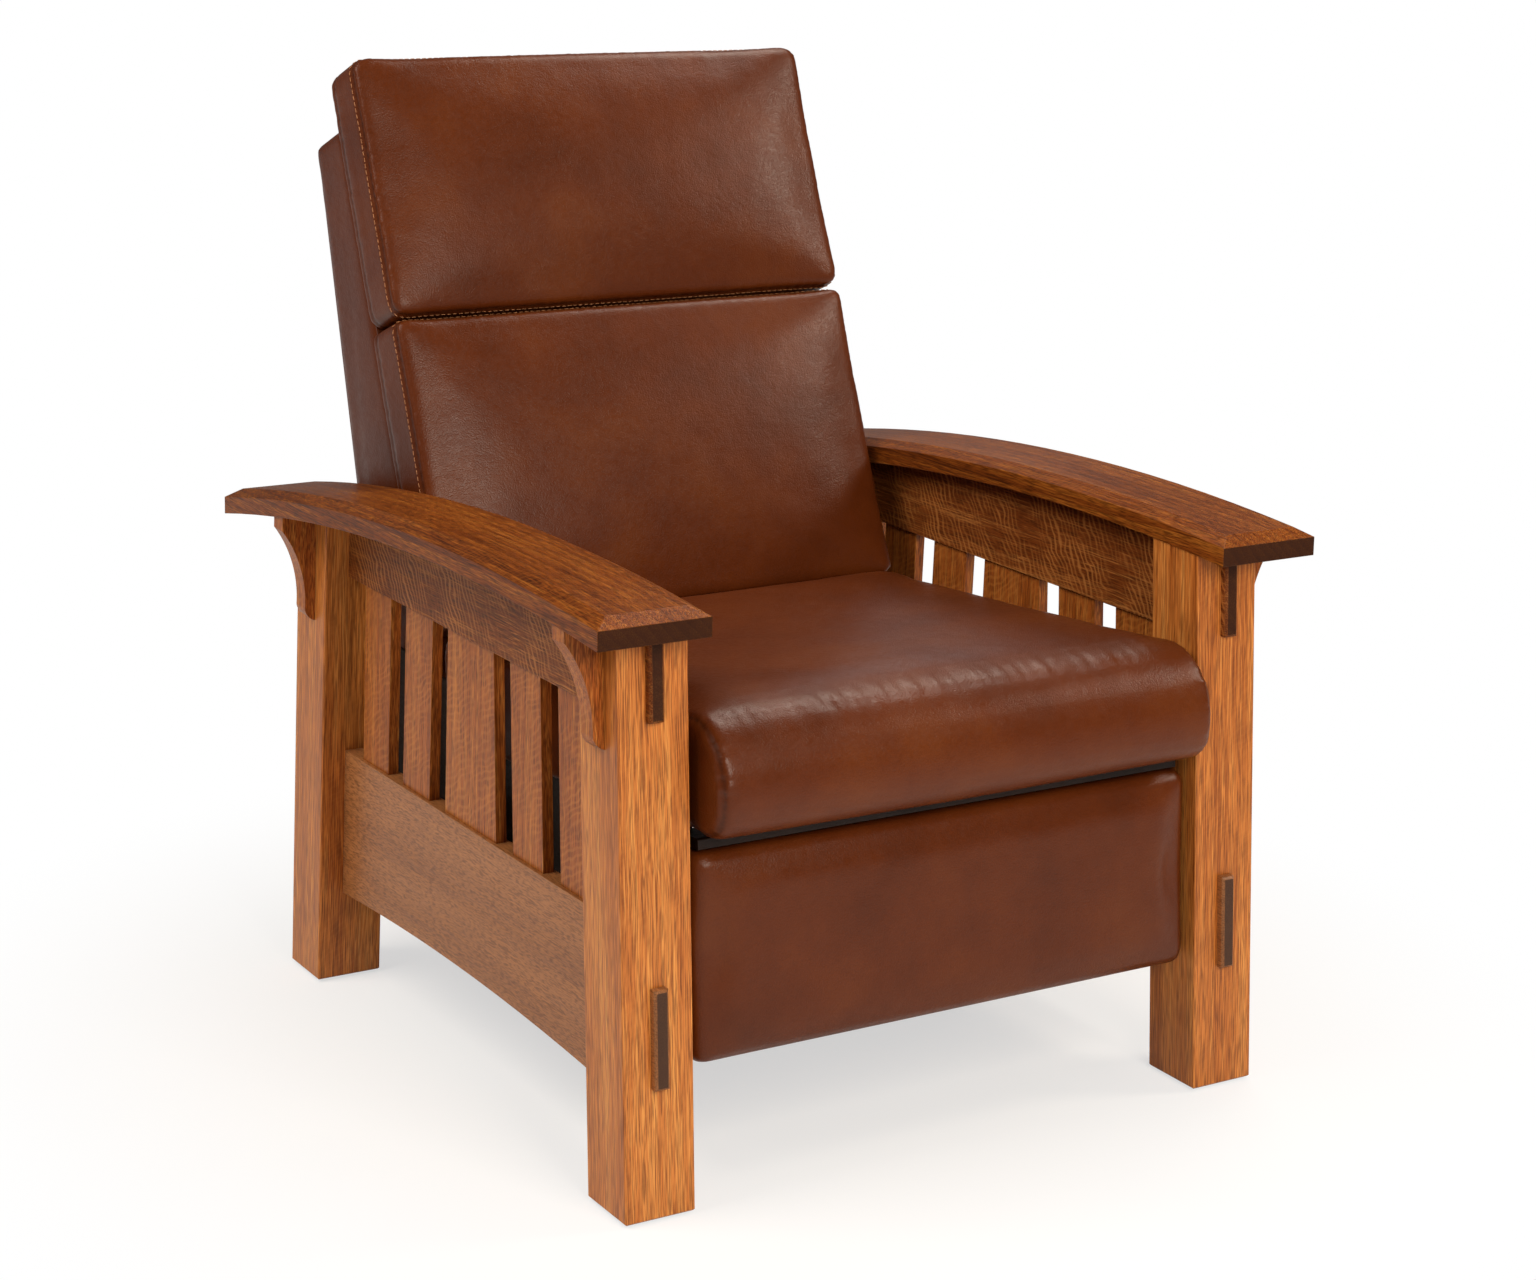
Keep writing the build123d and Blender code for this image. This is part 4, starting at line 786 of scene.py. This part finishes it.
def stuff(piece, square, held, cap, pressure, inward, outward, share_at=None):
    """Remeshes a box and swells it as cloth. Points that pass held stay, and none moves past
    cap. Foam keeps the outline from shrinking, so of each move along x and y only a share is
    kept, one for moves inward and one for moves outward. Neighbouring moves are evened out,
    which takes out loose folds. share_at gives the share of the whole move that is kept at
    each point."""
    pick(piece)
    remesh = piece.modifiers.new("even_squares", "REMESH")
    remesh.mode = "VOXEL"
    remesh.voxel_size = square
    bpy.ops.object.modifier_apply(modifier=remesh.name)
    start = read_points(piece)
    pins = piece.vertex_groups.new(name="held")
    pins.add([number for number, point in enumerate(start) if held(point)], 1.0, "REPLACE")
    cloth = piece.modifiers.new("stuffing", "CLOTH")
    cloth.settings.quality = 4
    cloth.settings.mass = 0.3
    cloth.settings.tension_stiffness = 20
    cloth.settings.compression_stiffness = 20
    cloth.settings.shear_stiffness = 8
    cloth.settings.bending_stiffness = 2.0
    cloth.settings.vertex_group_mass = pins.name
    cloth.settings.use_pressure = True
    cloth.settings.uniform_pressure_force = pressure
    cloth.settings.effector_weights.gravity = 0.0
    for number in range(1, stuffing_frames + 1):
        scene.frame_set(number)
    bpy.ops.object.modifier_apply(modifier=cloth.name)
    scene.frame_set(1)
    move = read_points(piece) - start
    ends = np.empty(len(piece.data.edges) * 2, int)
    piece.data.edges.foreach_get("vertices", ends)
    first, second = ends[0::2], ends[1::2]
    count = np.bincount(ends, minlength=len(start))[:, None]
    for _ in range(ironing_rounds):
        total = np.zeros_like(move)
        np.add.at(total, first, move[second])
        np.add.at(total, second, move[first])
        move = (1 - ironing_share) * move + ironing_share * total / count
    away = np.sign(start - (start.min(axis=0) + start.max(axis=0)) / 2)
    share = np.where(move * away < 0, inward, outward)
    share[:, Z] = 1.0
    move = move * share
    if share_at:
        move = move * share_at(start)
    length = np.linalg.norm(move, axis=1, keepdims=True)
    limited = cap * np.tanh(length / cap)
    write_points(piece, start + move * limited / np.maximum(length, 1e-9))
    largest = round(float(limited.max()) / mm, 1)
    print(piece.name, len(start), "points, largest move", largest, "mm")


def finer(piece):
    """One smooth subdivision, applied."""
    pick(piece)
    smooth = piece.modifiers.new("finer", "SUBSURF")
    smooth.levels = 1
    smooth.render_levels = 1
    bpy.ops.object.modifier_apply(modifier=smooth.name)
    bpy.ops.object.shade_smooth()


print("stuffing helpers ready")

# %% [markdown]
# ## Seams and stitches
# A seam pulls the leather in along a line and gathers it into small puckers on the fuller
# side. The line is found where a flat cut meets the finished shape, so it lies exactly on the
# surface. The points near it are pressed in, and a row of short stitches is laid beside it.

# %% Finding a seam line on a piece
line_step = 4 * mm


def cut_loop(piece, axis, height):
    """The longest loop where a plane square to an axis meets the piece, as ordered points.
    Dictionaries keep the points in the mesh's own order, so each run finds the same loop."""
    point, normal = Vector(), Vector()
    point[axis] = height
    normal[axis] = 1.0
    mesh = bmesh.new()
    mesh.from_mesh(piece.data)
    parts = mesh.verts[:] + mesh.edges[:] + mesh.faces[:]
    found = bmesh.ops.bisect_plane(mesh, geom=parts, plane_co=point, plane_no=normal)
    linked = {}
    for item in found["geom_cut"]:
        if isinstance(item, bmesh.types.BMEdge):
            first, second = item.verts
            linked.setdefault(first, []).append(second)
            linked.setdefault(second, []).append(first)
    best = []
    left = dict.fromkeys(linked)
    while left:
        here = next(iter(left))
        del left[here]
        loop = [here.co.copy()]
        while True:
            following = [v for v in linked[here] if v in left]
            if not following:
                break
            here = following[0]
            del left[here]
            loop.append(here.co.copy())
        if len(loop) > len(best):
            best = loop
    mesh.free()
    return best


def even_line(points, step):
    """Points at even steps round a loop."""
    row = np.array([tuple(point) for point in points] + [tuple(points[0])])
    along = np.concatenate([[0], np.cumsum(np.linalg.norm(np.diff(row, axis=0), axis=1))])
    places = np.arange(0, along[-1], step)
    return np.stack([np.interp(places, along, row[:, axis]) for axis in range(3)], axis=1)


def seam_line(piece, axis, height):
    """A seam line at one height along an axis, as points at even steps."""
    return even_line(cut_loop(piece, axis, height), line_step)


print("seam lines have a point every", line_step / mm, "mm")

# %% Sewing along a line
# The seam line is darkened with painted shade, as if its groove were in shadow.
seam_shade_strength = 0.6
seam_shade_width = 0.7
gather_reach = 3
gather_fade = 1.4
far_side_share = 0.25
gather_row = 3.1
gather_turn = 12


def sew(piece, line, depth, width, gather, gather_step, side=None):
    """Presses a seam into the piece and paints shade along it. Gathers of one size and spacing
    fall beside it, mostly on the side that a direction points to, and fade within a few steps."""
    tree = KDTree(len(line))
    for number, point in enumerate(line):
        tree.insert(point, number)
    tree.balance()
    points = read_points(piece)
    normals = read_normals(piece)
    painted_seam_shade = piece.data.attributes.get("painted_seam_shade")
    painted_seam_shade = painted_seam_shade or piece.data.attributes.new("painted_seam_shade", "FLOAT", "POINT")
    shade_marks = np.empty(len(points))
    painted_seam_shade.data.foreach_get("value", shade_marks)
    reach = gather_reach * max(width, gather_step)
    for number, point in enumerate(points):
        place, nearest, away = tree.find(Vector(point))
        if away > reach:
            continue
        groove = float(np.exp(-((away / width) ** 2)))
        pucker = 0.0
        if gather and away < gather_reach * gather_step:
            over = Vector(point) - place
            on_side = side is None or over.dot(Vector(side)) > -width
            along = nearest * line_step / gather_step
            wave = noise.noise(Vector((along, gather_row, away * gather_turn)))
            fading = float(np.exp(-((away / (gather_step * gather_fade)) ** 2)))
            pucker = gather * wave * fading * (1.0 if on_side else far_side_share)
        points[number] -= normals[number] * (depth * groove + pucker)
        # Painted shade along the seam, fading with distance from it.
        shade_mark = seam_shade_strength * float(np.exp(-((away / (width * seam_shade_width)) ** 2)))
        shade_marks[number] = max(shade_marks[number], shade_mark)
    write_points(piece, points)
    painted_seam_shade.data.foreach_set("value", shade_marks)


print("seams can be sewn")

# %% Laying a row of stitches
stitch_length = 5.0 * mm
stitch_gap = 2.2 * mm
stitch_width = 1.1 * mm
stitch_end = stitch_length * 0.4
stitch_rounding = stitch_width * 0.3
stitch_lift = stitch_width * 0.15
bpy.ops.object.select_all(action="DESELECT")
bpy.ops.mesh.primitive_cylinder_add(
    vertices=6, radius=stitch_width / 2, depth=stitch_length, rotation=(0, radians(90), 0)
)
one_stitch = bpy.context.object
one_stitch.name = "one_stitch"
bpy.ops.object.transform_apply(location=True, rotation=True, scale=True)
round_edges(one_stitch, stitch_rounding, 1, lambda p: p.x > stitch_end)
round_edges(one_stitch, stitch_rounding, 1, lambda p: p.x < -stitch_end)
stitch_points = read_points(one_stitch)
stitch_faces = [tuple(face.vertices) for face in one_stitch.data.polygons]
bpy.ops.object.delete()


def stitch_row(name, piece, line, shift):
    """A row of stitches on the piece's surface, beside a line by a shift."""
    surface = BVHTree.FromObject(piece, bpy.context.evaluated_depsgraph_get())
    points, faces = [], []
    places = even_line(line, stitch_length + stitch_gap)
    for here, there in zip(places, np.roll(places, -1, axis=0)):
        run = Vector(there) - Vector(here)
        if run.length > 3 * stitch_length:
            continue
        place, normal, _, _ = surface.find_nearest(Vector(here) + Vector(shift))
        if place is None:
            continue
        run.normalize()
        across = normal.cross(run).normalized()
        basis = np.array([tuple(run), tuple(across), tuple(normal)])
        offset = len(points) * len(stitch_points)
        middle = np.array(tuple(place + normal * stitch_lift))
        points.append(stitch_points @ basis + middle)
        faces.extend(tuple(number + offset for number in face) for face in stitch_faces)
    mesh = bpy.data.meshes.new(name)
    mesh.from_pydata(np.concatenate(points).tolist(), [], faces)
    row = bpy.data.objects.new(name, mesh)
    scene.collection.objects.link(row)
    row.data.materials.append(thread)
    return row


print("a stitch has", len(stitch_faces), "faces")

# %% [markdown]
# ## Two sloping planes
# The seat deck falls to the rear by 6 degrees and the back leans by 22.5. Each cushion is made
# level, with x across the chair, y towards the rear of the seat or up the back, and z out of
# the cushion, and is then turned into its plane in one step.

# %% From level frames to the deck and the back
deck_slope = radians(6)
back_lean = radians(22.5)
deck_start = (0, -420.8 * mm, 367 * mm)
back_start = (0, 154.2 * mm, 340 * mm)
deck_frame = Matrix.Translation(deck_start) @ Matrix.Rotation(-deck_slope, 4, "X")
back_frame = Matrix(
    (
        (1, 0, 0, back_start[X]),
        (0, sin(back_lean), -cos(back_lean), back_start[Y]),
        (0, cos(back_lean), sin(back_lean), back_start[Z]),
        (0, 0, 0, 1),
    )
)


def put(piece, place):
    """Turns a level piece into its place and leaves its object at the origin."""
    pick(piece)
    piece.matrix_world = place
    bpy.ops.object.transform_apply(location=True, rotation=True, scale=True)
    piece.data.update()


print("deck slope and back lean are set")

# %% [markdown]
# ## The seat cushion
# The front of the seat is one roll of leather over a fully round nose, closed at each side by
# a flat end cap whose seam follows the roll. The top rises a little towards the back, where
# its rear edge turns down softly against the lumbar cushion.

# %% Seat cushion as a box
voxel = 6 * mm
seat_half = 293 * mm
seat_low = 0.5 * mm
seat_high = 114 * mm
seat_front = -62 * mm
seat_back = 543 * mm
rail_front = 2 * mm
nose_drop = 28 * mm
seat_rear_rise = 15 * mm
nose_radius = 0.96 * (seat_high - seat_low + nose_drop) / 2
seat_rear_radius = 30 * mm
seat_side_radius = 11 * mm
seat = start_box(
    "seat_cushion_leather",
    (-seat_half, seat_front, seat_low),
    (seat_half, seat_back, seat_high),
)
bpy.ops.object.mode_set(mode="EDIT")
bpy.ops.mesh.select_all(action="SELECT")
bpy.ops.mesh.bisect(plane_co=(0, rail_front, 0), plane_no=(0, 1, 0))
bpy.ops.object.mode_set(mode="OBJECT")
move_points(seat, lambda p: p.y < seat_front + mm and p.z < seat_low + mm, (0, 0, -nose_drop))
move_points(seat, lambda p: p.y > seat_back - mm and p.z > seat_high - mm, (0, 0, seat_rear_rise))
round_edges(seat, nose_radius, 18, lambda p: p.y < seat_front + mm, X)
round_edges(
    seat, seat_rear_radius, 8, lambda p: p.y > seat_back - mm and p.z > seat_high - mm, X
)
round_edges(seat, seat_side_radius, 5, lambda p: p.x > seat_half - close)
round_edges(seat, seat_side_radius, 5, lambda p: p.x < close - seat_half)
print("nose radius", round(nose_radius / mm, 1), "mm")

# %% Seat cushion stuffed and sewn
nose_reach = 150 * mm
nose_share = 0.25
seat_held_height = 3 * mm
seat_held_from = 30 * mm
roll_place = -22 * mm
roll_bottom = 60 * mm
cap_inset = 4 * mm


def softer_nose(points):
    """The tight roll of the nose swells less than the top behind it."""
    back_from_nose = np.clip((points[:, 1:2] - seat_front) / nose_reach, 0, 1)
    return nose_share + (1 - nose_share) * back_from_nose


stuff(
    seat,
    square=voxel,
    held=lambda p: p[Z] < seat_low + seat_held_height and p[Y] > seat_held_from,
    cap=14 * mm,
    pressure=4.0,
    inward=0.1,
    outward=0.5,
    share_at=softer_nose,
)
finer(seat)
roll_line = [p for p in seam_line(seat, Y, roll_place) if p[Z] > roll_bottom]
sew(seat, roll_line, depth=0.0, width=0.1 * mm, gather=1.1 * mm, gather_step=13 * mm)
for side in (-1, 1):
    cap_line = seam_line(seat, X, side * (seat_half - cap_inset))
    sew(
        seat,
        cap_line,
        depth=1.8 * mm,
        width=3.5 * mm,
        gather=1.5 * mm,
        gather_step=8 * mm,
        side=(-side, 0, 0),
    )
seat.data.materials.append(chestnut_leather)
put(seat, deck_frame)
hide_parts("seat_cushion")
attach(seat, "seat")
print("seat cushion", len(seat.data.polygons), "faces")

# %% [markdown]
# ## The liners beside the mechanism
# A thin dark hardboard liner is screwed to the outside of each seat rail and reaches back past
# the linkage. Its near-black colour is painted shade, standing in for the shade inside the seat
# that shows through the slots between the slats. It is a sheet of 3 mm board with rounded
# corners and a small rounded edge, held by four screws, and it rises towards the rear.

# %% Seat side liners
liner_thickness = 3 * mm
liner_front = -350 * mm
liner_rear = 262 * mm
liner_low = 218 * mm
liner_high = 345 * mm
liner_rise = 45 * mm
liner_corner = 18 * mm
liner_edge = 0.8 * mm
rail_face = 286.5 * mm
screw_radius = 4 * mm
screw_head = 1.6 * mm
screw_edge = 0.6 * mm
screw_height = 315 * mm
screw_places = (-330 * mm, -190 * mm, -50 * mm, 80 * mm)
liner_face = rail_face + liner_thickness
# Near-black board: painted shade for the inside of the seat, seen through the slots.
painted_shade_board = worn_surface(
    "painted_shade_hardboard", "120c08", "1c130d", 0.0, 0.5, 0.7, 4 * mm, 0.3 * mm
)
for side, word in ((-1, "left"), (1, "right")):
    near, far = sorted((side * rail_face, side * liner_face))
    liner = start_box(
        "seat_side_liner_" + word,
        (near, liner_front, liner_low),
        (far, liner_rear, liner_high),
    )
    move_points(liner, lambda p: p.y > 0 and p.z > liner_low + mm, (0, 0, liner_rise))
    round_edges(liner, liner_corner, 4, lambda p: True, X)
    round_edges(liner, liner_edge, 2, lambda p: abs(p.x - side * liner_face) < close)
    liner.data.materials.append(painted_shade_board)
    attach(liner, "seat")
    for number, run in enumerate(screw_places):
        bpy.ops.object.select_all(action="DESELECT")
        bpy.ops.mesh.primitive_cylinder_add(
            vertices=16,
            radius=screw_radius,
            depth=screw_head,
            location=(side * (liner_face + screw_head / 2), run, screw_height),
            rotation=(0, radians(90), 0),
        )
        screw = bpy.context.object
        screw.name = "liner_screw_" + word + "_" + str(number + 1)
        bpy.ops.object.transform_apply(location=True, rotation=True, scale=True)
        round_edges(screw, screw_edge, 2, lambda p: abs(p.x) > liner_face + screw_head - close)
        screw.data.materials.append(zinc_steel)
        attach(screw, "seat")
print("two liners of", liner_thickness / mm, "mm board")

# %% [markdown]
# ## The lumbar and head cushions
# Both are boxed: a crowned front panel sewn to a side panel that runs round the cushion, with
# a second seam at the rear where the box meets the outer back.

# %% A boxed cushion on the back
cushion_half = 291 * mm
cushion_rear = 1 * mm
cushion_front = 76 * mm
cushion_edge = 10 * mm
cushion_held = 8 * mm
dome = 8 * mm
dome_depth = 25 * mm
front_share = 0.32


def boxed_cushion(name, low, high, corner):
    """A boxed cushion between two heights up the back, with corners of a radius."""
    half, rear, front = cushion_half, cushion_rear, cushion_front
    piece = start_box(name, (-half, low, rear), (half, high, front))
    round_edges(piece, corner, 7, lambda p: abs(abs(p.x) - half) < close, Z)
    round_edges(piece, cushion_edge, 5, lambda p: p.z > front - close)
    stuff(
        piece,
        square=voxel,
        held=lambda p: p[Z] < rear + cushion_held,
        cap=16 * mm,
        pressure=4.0,
        inward=0.08,
        outward=0.3,
        share_at=lambda points: np.array([1.0, 1.0, front_share]),
    )
    points = read_points(piece)
    near_front = np.clip((points[:, Z] - front + dome_depth) / dome_depth, 0, 1)
    across = np.clip(1 - (points[:, X] / half) ** 2, 0, 1)
    upward = np.clip(1 - ((2 * points[:, Y] - high - low) / (high - low)) ** 2, 0, 1)
    points[:, Z] += dome * near_front * across * upward
    write_points(piece, points)
    finer(piece)
    return piece


lumbar = boxed_cushion("lumbar_cushion_leather", 76 * mm, 425.5 * mm, corner=12 * mm)
head = boxed_cushion("head_cushion_leather", 427 * mm, 727 * mm, corner=18 * mm)
print("two boxed cushions", cushion_front / mm, "mm thick before they are sewn")

# %% Their seams and stitches
front_seam = 66 * mm
rear_seam = 14 * mm
stitch_shift = 5.5 * mm
for piece in (lumbar, head):
    front_line = seam_line(piece, Z, front_seam)
    sew(
        piece,
        front_line,
        depth=1.8 * mm,
        width=3.0 * mm,
        gather=0.9 * mm,
        gather_step=7 * mm,
        side=(0, 0, 1),
    )
    rear_line = seam_line(piece, Z, rear_seam)
    sew(
        piece,
        rear_line,
        depth=1.2 * mm,
        width=3.0 * mm,
        gather=0.8 * mm,
        gather_step=11 * mm,
    )
    row_name = piece.name.replace("leather", "stitches")
    row = stitch_row(row_name, piece, front_line, (0, 0, -stitch_shift))
    piece.data.materials.append(chestnut_leather)
    put(row, back_frame)
    put(piece, back_frame)
    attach(piece, "back")
    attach(row, "back")
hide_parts("lumbar_cushion")
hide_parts("headrest_cushion")
print("boxed cushions", len(lumbar.data.polygons), len(head.data.polygons), "faces")

# %% [markdown]
# ## The outer back
# The frame of the back is wrapped in the same leather over thin padding, a wedge that is
# thinner at the top, with soft corners. Its lower edge is level and covers the bare rails.

# %% Outer back
back_low = 4 * mm
back_top = 668 * mm
thick_top = 84 * mm
thick_low = 153.5 * mm
outer_half = 284 * mm
outer_rounding = 8 * mm
outer_voxel = 8 * mm
outer_held = 4 * mm
lower_held = 6 * mm
welt_inset = 6 * mm
lower_slope = tan(back_lean)
outer = start_box(
    "outer_back_leather", (-outer_half, back_low, -thick_low), (outer_half, back_top, 0)
)
move_points(
    outer,
    lambda p: p.z < -thick_top - mm and p.y > back_top - mm,
    (0, 0, thick_low - thick_top),
)
move_points(
    outer,
    lambda p: p.z < -thick_top - mm and p.y < back_top - mm,
    (0, thick_low * lower_slope, 0),
)
round_edges(outer, outer_rounding, 4, lambda p: p.z < mm - thick_top or p.y > back_top - mm)
stuff(
    outer,
    square=outer_voxel,
    held=lambda p: p[Z] > -outer_held or p[Y] < back_low + lower_held - p[Z] * lower_slope,
    cap=5 * mm,
    pressure=2.0,
    inward=0.0,
    outward=0.2,
)
finer(outer)
for side in (-1, 1):
    welt_line = seam_line(outer, X, side * (outer_half - welt_inset))
    sew(outer, welt_line, depth=1.2 * mm, width=3 * mm, gather=0.0, gather_step=11 * mm)
outer.data.materials.append(chestnut_leather)
put(outer, back_frame)
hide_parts("back_cover")
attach(outer, "back")
print("outer back", len(outer.data.polygons), "faces")

# %% [markdown]
# ## The footrest pad
# The closed footrest hangs in front of the seat as a plain upholstered panel with soft edges.

# %% Footrest pad
pad_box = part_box("footrest_pad")
print("footrest pad box", [[round(v, 4) for v in corner] for corner in pad_box])
pad_lean = radians(3.2)
pad_place = (0, -389.3 * mm, 241.5 * mm)
pad_half = 296.5 * mm
pad_height = 210 * mm
pad_rear = 3 * mm
pad_front = 50 * mm
pad_corner = 14 * mm
pad_edge = 17 * mm
pad_held = 5 * mm
pad_rim = 45 * mm
rim_power = 0.7
pad_frame = Matrix.Translation(pad_place) @ Matrix.Rotation(radians(90) - pad_lean, 4, "X")
pad = start_box(
    "footrest_leather",
    (-pad_half, -pad_height / 2, pad_rear),
    (pad_half, pad_height / 2, pad_front),
)
round_edges(pad, pad_corner, 5, lambda p: True, Z)
round_edges(pad, pad_edge, 7, lambda p: p.z > pad_front - close)


def quiet_rim(points):
    """The pad swells in its middle and stays still at its rim."""
    across = pad_half - np.abs(points[:, 0:1])
    upward = pad_height / 2 - np.abs(points[:, 1:2])
    return np.clip(np.minimum(across, upward) / pad_rim, 0, 1) ** rim_power


stuff(
    pad,
    square=voxel,
    held=lambda p: p[Z] < pad_rear + pad_held,
    cap=7 * mm,
    pressure=3.0,
    inward=0.05,
    outward=0.2,
    share_at=quiet_rim,
)
finer(pad)
pad.data.materials.append(chestnut_leather)
put(pad, pad_frame)
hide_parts("footrest_pad")
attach(pad, "footrest")
print("footrest pad", len(pad.data.polygons), "faces")
